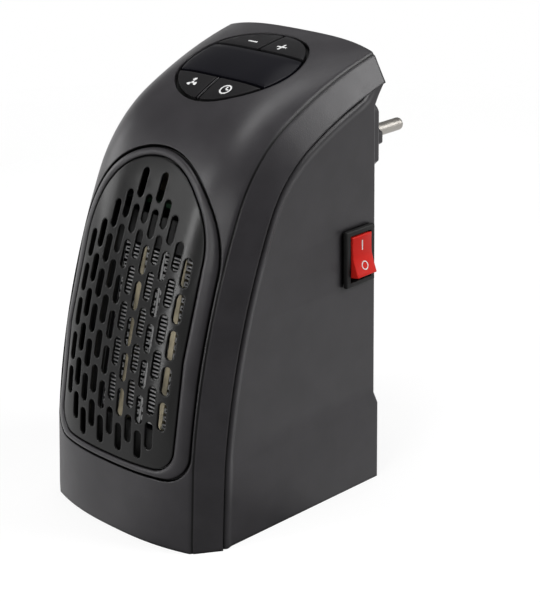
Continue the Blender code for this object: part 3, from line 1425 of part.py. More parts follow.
def make_contacts():
    """Two half-ring strips that the pins' inner ends slide on, and the bar that holds them."""
    turn = Matrix.Translation((0.0, 0.0, PLUG_Z)) @ Matrix.Rotation(-math.pi / 2, 4, "X")
    front = contact_plane()
    strips = []
    for side in (-1, 1):
        loop = half_ring(side, PLUG_CONTACT_GAP)
        strips.append(flat_plate([loop], front - PLUG_CONTACT_THICKNESS, front))
    add_pair("plug_contact", placed(strips[0], turn), placed(strips[1], turn), "brass_strip")
    holes = [circle(side * CONTACT_POST_X, 0.0, INNER_SCREW_RADIUS + SEAT_GAP) for side in (-1, 1)]
    bar = rectangle(CONTACT_HOLDER_HALF_LENGTH, CONTACT_HOLDER_HALF_HEIGHT)
    seat = contact_seat()
    holder = flat_plate([bar] + holes, seat - CONTACT_HOLDER_THICKNESS - SEAT_GAP, seat - SEAT_GAP)
    add_piece("contact_holder", placed(holder, turn), "inner_black")
    under_head = seat - SEAT_GAP - CONTACT_HOLDER_THICKNESS
    left, right = (inner_screw(side * CONTACT_POST_X, under_head, PLUG_Z) for side in (-1, 1))
    add_pair("contact_screw", left, right, "zinc_steel")


def inner_screw(x, seat_y, z):
    """Small pan-head screw whose head seats at y = seat_y and whose shank runs towards +Y."""
    head = INNER_SCREW_HEAD_HEIGHT
    profile = [
        (0.0, INNER_SCREW_LENGTH + head),
        (INNER_SCREW_RADIUS, INNER_SCREW_LENGTH + head),
        (INNER_SCREW_RADIUS, head),
        (INNER_SCREW_HEAD_RADIUS, head),
        (INNER_SCREW_HEAD_RADIUS, head / 3),
        (INNER_SCREW_HEAD_RADIUS - head / 3, 0.0),
        (0.0, 0.0),
    ]
    return along_y(turned(profile, SMALL_ROUND_STEPS), x, seat_y - SEAT_GAP - head, z)


def heater_matrix():
    """Local frame of the element: X across, Y up its length, Z towards the grille."""
    return Matrix.Translation((0.0, HEATER_Y, HEATER_Z)) @ Matrix.Rotation(math.pi / 2 - HEATER_TILT, 4, "X")


def fin_loop(centre):
    """Zigzag sheet seen along the air flow."""
    count = int(2 * (HEATER_HALF_LENGTH - FIN_THICKNESS) / FIN_HALF_PITCH)
    start = -count * FIN_HALF_PITCH / 2
    across = FIN_THICKNESS * FIN_WIDTH / FIN_HALF_PITCH / 2
    reach = FIN_WIDTH / 2 - across
    fold = [(centre + reach * (-1) ** step, start + step * FIN_HALF_PITCH) for step in range(count + 1)]
    right = [(x + across, y) for x, y in fold]
    left = [(x - across, y) for x, y in fold]
    return right + left[::-1]


def stack_places():
    """Centres of the electrode plates, fins and bars across the element, from the middle out."""
    inner_fin = ELECTRODE_WIDTH / 2 + FIN_GAP + FIN_WIDTH / 2
    bar = inner_fin + FIN_WIDTH / 2 + FIN_GAP + PTC_BAR_WIDTH / 2
    outer_fin = bar + PTC_BAR_WIDTH / 2 + FIN_GAP + FIN_WIDTH / 2
    outer_plate = outer_fin + FIN_WIDTH / 2 + FIN_GAP + ELECTRODE_WIDTH / 2
    return inner_fin, bar, outer_fin, outer_plate


def make_heater():
    inner_fin, bar, outer_fin, outer_plate = stack_places()
    half_depth = HEATER_DEPTH / 2
    for name, reach in (("outer", outer_fin), ("inner", inner_fin)):
        left, right = (flat_plate([fin_loop(side * reach)], -half_depth, half_depth) for side in (-1, 1))
        add_pair("heater_fin_" + name, placed(left, heater_matrix()), placed(right, heater_matrix()), "fin_aluminium")
    left, right = (placed(stack_strip(side * bar, PTC_BAR_WIDTH), heater_matrix()) for side in (-1, 1))
    add_pair("ptc_bar", left, right, "amber_film")
    left, right = (placed(stack_strip(side * outer_plate, ELECTRODE_WIDTH), heater_matrix()) for side in (-1, 1))
    add_pair("electrode_plate", left, right, "fin_aluminium")
    middle = stack_strip(0.0, ELECTRODE_WIDTH)
    add_piece("electrode_plate_middle", placed(middle, heater_matrix()), "fin_aluminium")


def stack_strip(centre, width):
    half_depth = HEATER_DEPTH / 2
    low = (centre - width / 2, -HEATER_HALF_LENGTH, -half_depth)
    high = (centre + width / 2, HEATER_HALF_LENGTH, half_depth)
    return box(low, high)


def heater_opening():
    """Half sizes of the hole that the element sits in."""
    _, _, _, outer_plate = stack_places()
    return outer_plate + ELECTRODE_WIDTH / 2 + SEAT_GAP, HEATER_HALF_LENGTH + SEAT_GAP


def heater_frame_outer():
    across, along = heater_opening()
    return across + HEATER_FRAME_WALL, along + HEATER_FRAME_WALL


def rounded_rectangle(half_width, half_height, corner):
    points = []
    for centre_x, centre_y, start in ((1, -1, -90), (1, 1, 0), (-1, 1, 90), (-1, -1, 180)):
        for step in range(OUTLINE_CORNER_STEPS + 1):
            angle = math.radians(start + 90 * step / OUTLINE_CORNER_STEPS)
            x = centre_x * (half_width - corner) + corner * math.cos(angle)
            y = centre_y * (half_height - corner) + corner * math.sin(angle)
            points.append((x, y))
    return points


def make_heater_frame():
    """Box round the element with a baffle plate in front that fills the shell behind the grille."""
    across, along = heater_opening()
    outer_across, outer_along = heater_frame_outer()
    front = HEATER_DEPTH / 2 + SEAT_GAP
    window = rectangle(across - HEATER_FRAME_LIP, along - HEATER_FRAME_LIP)
    outline = rounded_rectangle(BAFFLE_HALF_WIDTH, BAFFLE_HALF_HEIGHT, BAFFLE_CORNER)
    baffle = flat_plate([outline, window], front, front + BAFFLE_THICKNESS)
    frame = add_piece("heater_frame", placed(baffle, heater_matrix()), "inner_black")
    tube = flat_plate(
        [rectangle(outer_across, outer_along), rectangle(across, along)],
        -HEATER_DEPTH / 2,
        front + BAFFLE_THICKNESS / 2,
    )
    fuse(frame, placed(tube, heater_matrix()))
    disc = turned(
        [
            (0.0, CUTOUT_HEIGHT),
            (CUTOUT_RADIUS - CUTOUT_HEIGHT / 3, CUTOUT_HEIGHT),
            (CUTOUT_RADIUS, CUTOUT_HEIGHT * 2 / 3),
            (CUTOUT_RADIUS, 0.0),
            (0.0, 0.0),
        ],
        ROUND_STEPS,
    )
    level = HEATER_DEPTH / 2 - CUTOUT_RADIUS
    lift = Matrix.Translation((0.0, outer_along + SEAT_GAP, level)) @ Matrix.Rotation(-math.pi / 2, 4, "X")
    add_piece("thermal_cutout", placed(disc, heater_matrix() @ lift), "zinc_steel")


def square_direction(turn, half_width, half_height):
    """Point where a ray at an angle leaves a rectangle."""
    x = math.cos(turn)
    y = math.sin(turn)
    scale = min(half_width / max(abs(x), SEAT_GAP), half_height / max(abs(y), SEAT_GAP))
    return x * scale, y * scale


def make_fan_duct():
    """Loft from the element's rectangle to the fan's circle, with the bulkhead round it."""
    across, along = heater_frame_outer()
    half_width = across + SEAT_GAP
    half_height = along + SEAT_GAP
    corner_turn = math.atan2(half_height, half_width)
    per_side = DUCT_STEPS // 4
    turns = []
    for start, end in (
        (-corner_turn, corner_turn),
        (corner_turn, math.pi - corner_turn),
        (math.pi - corner_turn, math.pi + corner_turn),
        (math.pi + corner_turn, 2 * math.pi - corner_turn),
    ):
        turns += evenly(start, end, per_side)[:-1]
    mouth = []
    back = -HEATER_DEPTH / 2
    for level in (back + DUCT_MOUTH_OVERLAP, back - SEAT_GAP):
        ring = []
        for turn in turns:
            x, y = square_direction(turn, half_width, half_height)
            ring.append(heater_matrix() @ Vector((x, y, level)))
        mouth.append(ring)
    circles = []
    for y in (DUCT_FRONT_Y, DUCT_REAR_Y):
        circles.append([Vector((DUCT_RADIUS * math.cos(t), y, FAN_Z + DUCT_RADIUS * math.sin(t))) for t in turns])
    work = bmesh.new()
    loops = [[work.verts.new(point) for point in ring] for ring in mouth + circles]
    for first, second in zip(loops, loops[1:]):
        for index in range(len(first)):
            following = (index + 1) % len(first)
            work.faces.new([first[following], first[index], second[index], second[following]])
    duct = add_piece("fan_duct", mesh_from(work), "inner_black")
    wall = duct.modifiers.new("wall", "SOLIDIFY")
    wall.thickness = DUCT_WALL
    wall.offset = 1.0
    wall.use_even_offset = True
    side = PANEL_HALF_WIDTH - WALL - SEAT_GAP
    centre = (BULKHEAD_TOP + BULKHEAD_BOTTOM) / 2
    outline = rectangle(side, (BULKHEAD_TOP - BULKHEAD_BOTTOM) / 2, 0.0, centre)
    hole = circle(0.0, FAN_Z, DUCT_RADIUS + DUCT_WALL / 2, DUCT_STEPS)
    plate = flat_plate([outline, hole], -DUCT_REAR_Y, -DUCT_REAR_Y + BULKHEAD_THICKNESS)
    fuse(duct, placed(plate, Matrix.Rotation(math.pi / 2, 4, "X")))


def blade_ring(turn, share):
    """Section of one blade at a share of its height: four points on each face."""
    tip = DUCT_RADIUS - IMPELLER_TIP_CLEARANCE
    root = IMPELLER_HUB_RADIUS - BLADE_ROOT_SINK
    middle = (IMPELLER_FRONT_Y + IMPELLER_REAR_Y) / 2
    radius = root + (tip - root) * share
    sweep = BLADE_SWEEP_ROOT + (BLADE_SWEEP_TIP - BLADE_SWEEP_ROOT) * share
    ring = []
    for side, chords in ((1, evenly(-0.5, 0.5, 3)), (-1, evenly(0.5, -0.5, 3))):
        for chord in chords:
            angle = turn + sweep * chord
            span = BLADE_SPAN * (1.0 - BLADE_TIP_SHARE * share)
            y = middle + span * chord * (1.0 - BLADE_CAMBER_SHARE * chord * chord) + side * BLADE_THICKNESS / 2
            ring.append(Vector((radius * math.sin(angle), y, FAN_Z + radius * math.cos(angle))))
    return ring


def blade(turn):
    """Twisted blade, lofted from inside the hub to the tip."""
    work = bmesh.new()
    loops = []
    for share in evenly(0.0, 1.0, 2):
        loops.append([work.verts.new(point) for point in blade_ring(turn, share)])
    for first, second in zip(loops, loops[1:]):
        for index in range(len(first)):
            following = (index + 1) % len(first)
            work.faces.new([first[index], first[following], second[following], second[index]])
    work.faces.new(loops[0])
    work.faces.new(loops[-1])
    face_outwards(work)
    return mesh_from(work)


def make_fan():
    origin = (0.0, IMPELLER_REAR_Y, FAN_Z)
    length = IMPELLER_REAR_Y - IMPELLER_FRONT_Y
    bore = SHAFT_RADIUS + SEAT_GAP
    hub = [
        (bore, length),
        (IMPELLER_HUB_RADIUS, length),
        (IMPELLER_HUB_RADIUS, IMPELLER_NOSE),
        (IMPELLER_HUB_RADIUS - IMPELLER_NOSE, 0.0),
        (0.0, 0.0),
        (0.0, length - HUB_BORE_DEPTH),
        (bore, length - HUB_BORE_DEPTH),
        (bore, length),
    ]
    mesh = along_y(turned(hub, DRUM_STEPS), 0.0, IMPELLER_FRONT_Y, FAN_Z)
    impeller = add_piece("fan_impeller", mesh, "impeller_white", origin)
    blades = [blade(2 * math.pi * index / BLADE_COUNT) for index in range(BLADE_COUNT)]
    fuse(impeller, *blades)
    shaft_low = IMPELLER_REAR_Y - HUB_BORE_DEPTH + SEAT_GAP
    shaft_high = MOTOR_FRONT_Y + SHAFT_ENGAGEMENT
    shaft = rod_y(SHAFT_RADIUS, 0.0, shaft_low, shaft_high, FAN_Z)
    add_piece("motor_shaft", shaft, "zinc_steel", origin)


def make_motor():
    length = MOTOR_REAR_Y - MOTOR_FRONT_Y
    bore = SHAFT_RADIUS + SEAT_GAP
    depth = SHAFT_ENGAGEMENT + SEAT_GAP
    profile = [
        (0.0, length),
        (MOTOR_RADIUS - MOTOR_EDGE, length),
        (MOTOR_RADIUS, length - MOTOR_EDGE),
        (MOTOR_RADIUS, MOTOR_EDGE),
        (MOTOR_RADIUS - MOTOR_EDGE, 0.0),
        (MOTOR_BOSS_RADIUS, 0.0),
        (MOTOR_BOSS_RADIUS, -MOTOR_BOSS_HEIGHT),
        (bore, -MOTOR_BOSS_HEIGHT),
        (bore, depth),
        (0.0, depth),
    ]
    mesh = along_y(turned(profile, ROUND_STEPS), 0.0, MOTOR_FRONT_Y, FAN_Z)
    add_piece("fan_motor", mesh, "zinc_steel")
    turn = Matrix.Translation((0.0, 0.0, FAN_Z)) @ Matrix.Rotation(-math.pi / 2, 4, "X")
    start = math.asin(BRACKET_HALF_HEIGHT / BRACKET_RING_RADIUS)
    outline = []
    for half_turn in (0.0, math.pi):
        end = Matrix.Rotation(half_turn, 2)
        corners = [(BRACKET_HALF_LENGTH, -BRACKET_HALF_HEIGHT), (BRACKET_HALF_LENGTH, BRACKET_HALF_HEIGHT)]
        for angle in evenly(start, math.pi - start, ROUND_STEPS // 2):
            corners.append((BRACKET_RING_RADIUS * math.cos(angle), BRACKET_RING_RADIUS * math.sin(angle)))
        outline += [tuple(end @ Vector(corner)) for corner in corners]
    holes = [circle(0.0, 0.0, MOTOR_RADIUS + SEAT_GAP, ROUND_STEPS)]
    holes += [circle(side * BRACKET_POST_X, 0.0, INNER_SCREW_RADIUS + SEAT_GAP) for side in (-1, 1)]
    bar = flat_plate([outline] + holes, BRACKET_Y, BRACKET_Y + BRACKET_THICKNESS)
    add_piece("motor_bracket", placed(bar, turn), "zinc_steel")
    left, right = (inner_screw(side * BRACKET_POST_X, BRACKET_Y, FAN_Z) for side in (-1, 1))
    add_pair("bracket_screw", left, right, "zinc_steel")


def on_power_board(size, place_shares):
    """Box standing on the power board, placed by shares of the board's half width and length."""
    half_width = PANEL_HALF_WIDTH - WALL - SEAT_GAP
    x = place_shares[0] * half_width
    y = POWER_BOARD_FRONT_Y + place_shares[1] * (POWER_BOARD_REAR_Y - POWER_BOARD_FRONT_Y)
    z = POWER_BOARD_Z + BOARD_THICKNESS + SEAT_GAP
    low = (x - size[0] / 2, y - size[1] / 2, z)
    high = (x + size[0] / 2, y + size[1] / 2, z + size[2])
    return box(low, high)


def make_power_board():
    half_width = PANEL_HALF_WIDTH - WALL - SEAT_GAP
    low = (-half_width, POWER_BOARD_FRONT_Y, POWER_BOARD_Z)
    high = (half_width, POWER_BOARD_REAR_Y, POWER_BOARD_Z + BOARD_THICKNESS)
    add_piece("power_board", box(low, high), "board_green")
    add_piece("power_relay", on_power_board(RELAY_SIZE, RELAY_PLACE_SHARES), "inner_black")
    add_piece("filter_capacitor", on_power_board(CAPACITOR_SIZE, CAPACITOR_PLACE_SHARES), "amber_film")
    add_piece("driver_chip", on_power_board(CHIP_SIZE, CHIP_PLACE_SHARES), "inner_black")
    block = on_power_board(TERMINAL_BLOCK_SIZE, TERMINAL_BLOCK_PLACE_SHARES)
    add_piece("terminal_block", block, "impeller_white")


def make_shell_screws():
    seat = BACK_Y - SCREW_WELL_DEPTH + SEAT_GAP
    head = SCREW_HEAD_HEIGHT
    names = ("low_left", "low_right", "high_left", "high_right")
    for name, (x, z) in zip(names, shell_screw_places()):
        profile = [
            (0.0, head),
            (SCREW_HEAD_RADIUS - head / 3, head),
            (SCREW_HEAD_RADIUS, head * 2 / 3),
            (SCREW_HEAD_RADIUS, 0.0),
            (SCREW_RADIUS, 0.0),
            (SCREW_RADIUS, -SCREW_LENGTH),
            (0.0, -SCREW_LENGTH),
        ]
        screw = along_y(turned(profile, SMALL_ROUND_STEPS), x, seat, z)
        add_piece("shell_screw_" + name, screw, "zinc_steel")


def main():
    remove_everything()
    make_front_shell()
    make_grille_bezel()
    make_front_grille()
    make_display_window()
    make_buttons()
    make_panel_frame()
    make_control_board()
    make_rear_shell()
    make_switch_frame()
    make_switch_rocker()
    make_switch_terminals()
    make_plug()
    make_contacts()
    make_heater()
    make_heater_frame()
    make_fan_duct()
    make_fan()
    make_motor()
    make_power_board()
    make_shell_screws()


main()
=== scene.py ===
"""Looks of the plug-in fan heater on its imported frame.

Metres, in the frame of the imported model: grille towards -Y, plug towards +Y, rocker switch on +X, up +Z.
"""

import json
from math import asin, cos, exp, hypot, pi, radians, sin, sqrt

import bmesh
import bpy
import numpy as np
from bmesh import ops
from mathutils import Matrix, Vector
from mathutils.geometry import delaunay_2d_cdt


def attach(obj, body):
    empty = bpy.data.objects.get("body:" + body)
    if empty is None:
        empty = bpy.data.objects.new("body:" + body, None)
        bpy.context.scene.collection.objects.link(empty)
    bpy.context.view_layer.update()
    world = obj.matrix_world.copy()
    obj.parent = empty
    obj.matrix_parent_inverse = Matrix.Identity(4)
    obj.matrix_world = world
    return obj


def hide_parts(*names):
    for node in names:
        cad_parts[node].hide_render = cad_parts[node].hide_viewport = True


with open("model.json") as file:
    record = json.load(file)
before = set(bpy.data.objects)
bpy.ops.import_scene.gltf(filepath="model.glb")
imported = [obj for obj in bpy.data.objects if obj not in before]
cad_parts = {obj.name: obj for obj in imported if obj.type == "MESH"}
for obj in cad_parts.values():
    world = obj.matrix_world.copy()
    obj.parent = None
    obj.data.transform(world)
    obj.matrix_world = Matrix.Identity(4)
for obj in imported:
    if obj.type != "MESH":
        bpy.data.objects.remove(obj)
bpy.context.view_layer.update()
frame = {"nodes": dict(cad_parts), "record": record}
scene = bpy.context.scene
slot_of_node = {part["node"]: part["material_slot"] for part in frame["record"]["subparts"]}

# Values that only the looks need
GRAIN_DEPTH = 0.0002
GRAIN_NOISE = (2200.0, 2.0)  # scale and detail, as in the next two
COLOUR_NOISE = (90.0, 3.0)
ROUGHNESS_NOISE = (160.0, 4.0)
ROUGHNESS_SPREAD = 0.08
NOISE_SPREAD = (0.3, 0.7)
RAY_SAMPLES = 6
WHITE = (1.0, 1.0, 1.0, 1.0)
# Painted shade: colour of the shade painted into narrow gaps and into the fold's groove
GAP_DARK = 0.002
GAP_REACH = 0.0016
GAP_LIGHT = (0.45, 0.9)
FOLD_LINE_REACH = 0.00036
# Colour of the painted shade on the heater fins' sides
FIN_SIDE_SHADE = 0.02
SHARP_TURN = radians(32.0)
GRILLE_SHARP_TURN = radians(50.0)
CORNER_TURN = radians(35.0)
PLATE_CORNER_TURN = radians(60.0)
PLATFORM_CORNER_TURN = radians(25.0)
FLAT_TURN = radians(1.0)
FOLD_ROUND = 0.001
CREASE_DEPTH = 0.00035
CREASE_WIDTH = 0.0003
SPLIT_GAP = 0.00095
RIB_HALF_WIDTH = 0.00024
SEAM_GAP = 0.0009
STRIP_STEPS = 10
STRIP_CREST_SHARE = 0.35
STRIP_EDGE_DROP = 0.0008
PLATE_GRID = 24
CORNER_STEPS = 6
BEAD_STEPS = 14
BEAD_POWER = 0.7
BEAD_SIDE_DROP = 0.0006
FINE_ROUND = 0.00025
SWITCH_ROUND = 0.0006
MARK_THICKNESS = 0.00004
MARK_ACROSS = 0.007
REAR_MARK_STATION = 0.1856
MARK_HALF_LENGTH = 0.0021
MARK_HALF_WIDTH = 0.00038
FINE_MARK_HALF_WIDTH = MARK_HALF_WIDTH * 0.7
FRONT_MARK_ACROSS = 0.008
FRONT_MARK_STATION = 0.1566
FAN_MARK_HUB = 0.00055
FAN_MARK_RADIUS = 0.0024
FAN_MARK_BLADE = 0.75
FAN_MARK_HOLLOW = 0.35
BLADE_STEPS = 6
CLOCK_MARK_RADIUS = 0.0023
CLOCK_RIM_SHARE = 1.5
CLOCK_HAND_SHARES = (0.3, 0.22)
ROCKER_STEPS = 16
ROCKER_POWER = 1.3
ROCKER_MARK_SHARE = 0.5
ROCKER_MARK_RADIUS = 0.0016
ROCKER_STROKE_SHARE = 1.1
PIN_NOSE_SHARE = 0.8
SCREW_DOME_SHARE = 0.7
RECESS_SHARES = (0.6, 0.16)
RECESS_FLOOR = 0.4
EDGE_STEPS = 6
NOSE_STEPS = 8
HEAD_STEPS = 5

# Studio and camera
AMBIENT = 0.05
ROOM_GREY = 0.2
ROOM_RISE = 0.25
MIRROR_LEVEL = 0.86
DARK_SIDE = (0.8, -0.6, 0.0)
DARK_SIDE_SPREAD = (0.55, 0.9)
DARK_SIDE_LEVEL = 0.1
FLOOR_GLOW = 0.8
FLOOR_FADE = (0.3, 0.6)
FLOOR_REACH = 3.0
FLOOR_GREYS = (0.22, 0.26)
FLOOR_NOISE = (6.0, 2.0)
FLOOR_ROUGHNESS = 0.9
LENS, SENSOR = 108.4, 36.0
SHIFT = (0.097, -0.0397)
CLIP = (0.05, 20.0)
CAMERA_PLACE = (0.4359, -0.4151, 0.3029)
CAMERA_AXES = ((0.69648, 0.71708, -0.0265), (-0.23282, 0.26075, 0.93692), (0.67876, -0.64637, 0.34857))
TARGET = (0.0, 0.0, 0.08)
LAMPS = (
    ("left_low", (-0.9, -0.25, 0.3), (0.5, 0.3), 1.4),
    ("left_front", (-0.52, -0.7, 0.48), (0.4, 0.4), 1.4),
    ("front_strip", (-0.36, -1.0, 0.42), (0.07, 0.9), 4.2),
    ("overhead", (0.02, -0.1, 1.02), (0.22, 0.75), 3.4),
    ("front_soft", (0.26, -0.93, 0.46), (0.5, 0.22), 2.2),
    ("right_back", (0.7, 0.59, 0.68), (0.6, 0.6), 9.2),
    ("top_back", (-0.2, 0.35, 0.95), (0.5, 0.5), 0.6),
)

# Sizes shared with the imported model
SEAT_GAP = 0.0003
WELD = SEAT_GAP / 100
AXIS_MERGE = 0.00001
CUT_OVERRUN = 0.004
WALL = 0.002
FOOT_Y = -0.0465
FACE_RADIUS = 0.269
FACE_TURN = radians(25.6)
BROW_RADIUS = 0.055
BROW_TURN = radians(35.0)
DECK_RADIUS = 0.16
BACK_Y = 0.0416
HOOD_REAR_Y = 0.0467
HOOD_BOW = 0.0015
BODY_X = 0.0411
RIDGE_X = 0.0349
BAND_DROP = 0.0092
CROWN_HEIGHT = 0.008
CROWN_STATION_SHARES = (0.0, 0.18, 0.55, 0.75, 0.86, 1.0)
CROWN_HEIGHT_SHARES = (0.65, 0.9, 0.87, 1.0, 0.805, 0.3125)
CROWN_POWERS = (2.5, 3.2, 3.7, 4.2, 3.6, 4.0)
CROWN_COLUMN_SHARES = tuple(share / 20 for share in range(19)) + (
    0.93, 0.96, 0.971, 0.98, 0.987, 0.993, 1.0, 1.007, 1.013, 1.02, 1.029,
)
BACK_COLUMN_SHARES = (0.8, 0.6, 0.4, 0.2, 0.0)
SHELL_EDGE_ROUND = 0.0008
STRIP_WIDTH = 0.0045
SIDE_X = 0.0402
SKIRT_FRONT_X = 0.0407
SKIRT_REAR_X = 0.0421
SKIRT_HEIGHT = 0.0295
SKIRT_CHAMFER = 0.0035
HOOD_SLANT_DROP = 0.0071
HOOD_LIP_Y = 0.0457
REAR_INSET = BAND_DROP + SEAT_GAP
SKIRT_TOP = SKIRT_HEIGHT + SKIRT_CHAMFER
BACK_CORNER_RADIUS = 0.0007
ARCH_GROWTH = (1, -1, 0, 1, 1)  # of an arch's half width, bottom, shoulder, apex and corner
BEZEL_ARCH = (0.0339, 0.0249, 0.097, 0.1324, 0.009)
GRILLE_X = 0.0285
GRILLE_ARCH = (GRILLE_X, 0.0278, 0.0995, 0.1294, 0.0075)
FOOT_RISE = 0.001
GROOVE_HALF_WIDTH = 0.0005
GROOVE_DEPTH = 0.0014
BEZEL_BEAD_HEIGHT = 0.0003
BEZEL_BACK_DEPTH = 0.0036
BEZEL_SHELF_DEPTH = 0.0023
BEZEL_SHELF_WIDTH = 0.0011
GRILLE_LEVELS = (-0.0012, -0.0003)
SLOT_WIDTH = 0.0033
SLOT_LENGTH = 0.0099
SLOT_COLUMN_PITCH = 0.00470991
SLOT_ROW_PITCH = 0.01215
SLOT_TOP_ROW = 0.12035
SLOT_STAGGER = 0.00785
SLOT_REACHES = ((1, 3, 5, 5, 5, 5, 5, 3), (2, 4, 4, 4, 4, 4, 4))
PANEL_STATION = 0.1724
PANEL_HALF_ACROSS = 0.0234
PANEL_HALF_ALONG = 0.0224
PANEL_GAP = 0.00068
WINDOW_FRONT_STATION = 0.1621
WINDOW_REAR_STATION = 0.1808
WINDOW_LEVELS = (-0.002, -0.0003)
BUTTON_LEVELS = (-0.0015, -0.0001)
SWITCH_Y = 0.0317
SWITCH_Z = 0.0884
SWITCH_FLANGE_HALVES = (0.0074, 0.0104)
SWITCH_FLANGE_THICKNESS = 0.0019
SWITCH_BODY_HALVES = (0.0063, 0.0094)
SWITCH_BODY_DEPTH = 0.0125
SWITCH_FLOOR = 0.0016
ROCKER_HALF_WIDTH = 0.005
ROCKER_HALF_LENGTH = 0.0073
ROCKER_CENTRE_HEIGHT = 0.0044
ROCKER_END_HEIGHT = 0.0056
ROCKER_SKIRT_DEPTH = 0.0022
ROCKER_SKIRT_HALF_LENGTH = 0.0052
ROCKER_PIVOT_DEPTH = 0.0014
ROCKER_CLEARANCE = 0.0004
ROCKER_TILT = radians(10.0)
PLUG_Z = 0.118
PLUG_DRUM_RADIUS = 0.0188
PLUG_DRUM_LENGTH = 0.0272
PLUG_DRUM_EDGE = 0.0016
PLUG_TOP_CORNER_SHARE = 0.88
PLUG_NECK_RADIUS = 0.0165
PLUG_NECK_INSET = 0.006
PLUG_FACE_HALF_LENGTH = 0.0174
PLUG_FACE_HALF_WIDTH = 0.0069
PLUG_FACE_TIP_HALF_WIDTH = 0.002
PLUG_FACE_HEIGHT = 0.003
PIN_RADIUS = 0.0024
PIN_HALF_PITCH = 0.0095
PIN_LENGTH = 0.019
PLUG_HUB_CLEARANCE = 0.0003
HEATER_Y = -0.0241
HEATER_Z = 0.0637
HEATER_TILT = radians(14.5)
HEATER_HALF_LENGTH = 0.032
HEATER_DEPTH = 0.011
FIN_WIDTH = 0.008
FIN_HALF_PITCH = 0.0014
FIN_TURN_SHARE = 0.4
FIN_THICKNESS = 0.0006
FIN_REACHES = (("outer", 0.0155), ("inner", 0.0047))
SCREW_RADIUS = 0.0015
SCREW_LENGTH = 0.011
SCREW_HEAD_RADIUS = 0.0028
SCREW_HEAD_HEIGHT = 0.0018
SCREW_WELL_RADIUS = 0.0033
SCREW_WELL_DEPTH = 0.003
SCREW_BOSS_RADIUS = 0.0046
SCREW_BOSS_DEPTH = 0.0048
SHELL_SCREW_PLACES = [(x, z) for z in (0.0105, 0.1285) for x in (-0.0328, 0.0328)]
VENT_ROWS = 8
VENT_PITCH = 0.0064
VENT_RADIUS = 0.0015
VENT_HALF_LENGTH = 0.011
VENT_X = 0.014
VENT_BOTTOM = 0.042
FACE_ROWS = 24
BROW_ROWS = 16
DECK_ROWS = 14
OUTLINE_ARCH_STEPS = 36
FOOT_POINT_SHARES = (0.15, 0.3, 0.45, 0.6, 0.75, 0.9)
OUTLINE_CORNER_STEPS = 10
LINE_STEPS = 196
SLOT_END_STEPS = 9
OVAL_STEPS = 96
ROUND_STEPS = 14
CIRCLE_STEPS = 28
DRUM_STEPS = 24

TO_BACK = Matrix.Rotation(-pi / 2, 4, "X")
SWITCH_MATRIX = Matrix.Translation((SIDE_X, SWITCH_Y, SWITCH_Z))
HEATER_MATRIX = Matrix.Translation((0.0, HEATER_Y, HEATER_Z)) @ Matrix.Rotation(pi / 2 - HEATER_TILT, 4, "X")
FRONT_COLUMNS = [share * RIDGE_X for share in reversed(CROWN_COLUMN_SHARES)]


def face_outwards(work):
    ops.recalc_face_normals(work, faces=work.faces)
    if work.calc_volume(signed=True) < 0.0:
        ops.reverse_faces(work, faces=work.faces)


def opened(mesh):
    work = bmesh.new()
    work.from_mesh(mesh)
    return work


def closed(work, mesh):
    work.to_mesh(mesh)
    work.free()
    return mesh


def mesh_from(work):
    work.normal_update()
    return closed(work, bpy.data.meshes.new("shape"))


def solid_from(work):
    face_outwards(work)
    return mesh_from(work)


def placed(mesh, matrix):
    mesh.transform(matrix)
    return mesh


def added(name, data):
    piece = bpy.data.objects.new(name, data)
    scene.collection.objects.link(piece)
    return piece


def evaluated(piece):
    """Mesh with the piece's modifiers applied; the piece and its helpers are removed."""
    made = bpy.data.meshes.new_from_object(piece.evaluated_get(bpy.context.evaluated_depsgraph_get()))
    helpers = [modifier.object for modifier in piece.modifiers if modifier.type == "BOOLEAN"]
    for item in helpers + [piece]:
        bpy.data.objects.remove(item, do_unlink=True)
    return made


def combined(mesh, others, operation):
    piece = added("loose", mesh)
    for other in others:
        modifier = piece.modifiers.new("solid", "BOOLEAN")
        modifier.solver = "EXACT"
        modifier.operation = operation
        modifier.object = added("loose", other)
    return evaluated(piece)


def rounded(mesh, width, steps=2, angle=CORNER_TURN):
    piece = added("loose", mesh)
    modifier = piece.modifiers.new("round", "BEVEL")
    modifier.width = width
    modifier.segments = steps
    modifier.limit_method = "ANGLE"
    modifier.angle_limit = angle
    return evaluated(piece)


def box(low, high):
    low, high = Vector(low), Vector(high)
    work = bmesh.new()
    ops.create_cube(work, size=1.0)
    ops.scale(work, vec=high - low, verts=work.verts)
    ops.translate(work, vec=(low + high) / 2, verts=work.verts)
    return mesh_from(work)


def turned(profile, steps):
    """Turns (radius, height) points, top to bottom, about +Z."""
    mesh = bpy.data.meshes.new("profile")
    points = [(radius, 0.0, height) for radius, height in profile]
    mesh.from_pydata(points, [(index, index + 1) for index in range(len(points) - 1)], [])
    guide = added("loose", mesh)
    screw = guide.modifiers.new("turn", "SCREW")
    screw.axis = "Z"
    screw.steps = screw.render_steps = steps
    screw.use_merge_vertices = True
    screw.merge_threshold = AXIS_MERGE
    made = evaluated(guide)
    work = opened(made)
    face_outwards(work)
    return closed(work, made)


def along_y(mesh, x, y, z):
    """Turned solid with its +Z along +Y and its zero height at the point."""
    return placed(mesh, Matrix.Translation((x, y, z)) @ TO_BACK)


def rod_y(radius, x, y_low, y_high, z, steps=DRUM_STEPS):
    length = y_high - y_low
    return along_y(turned([(0.0, length), (radius, length), (radius, 0.0), (0.0, 0.0)], steps), x, y_low, z)


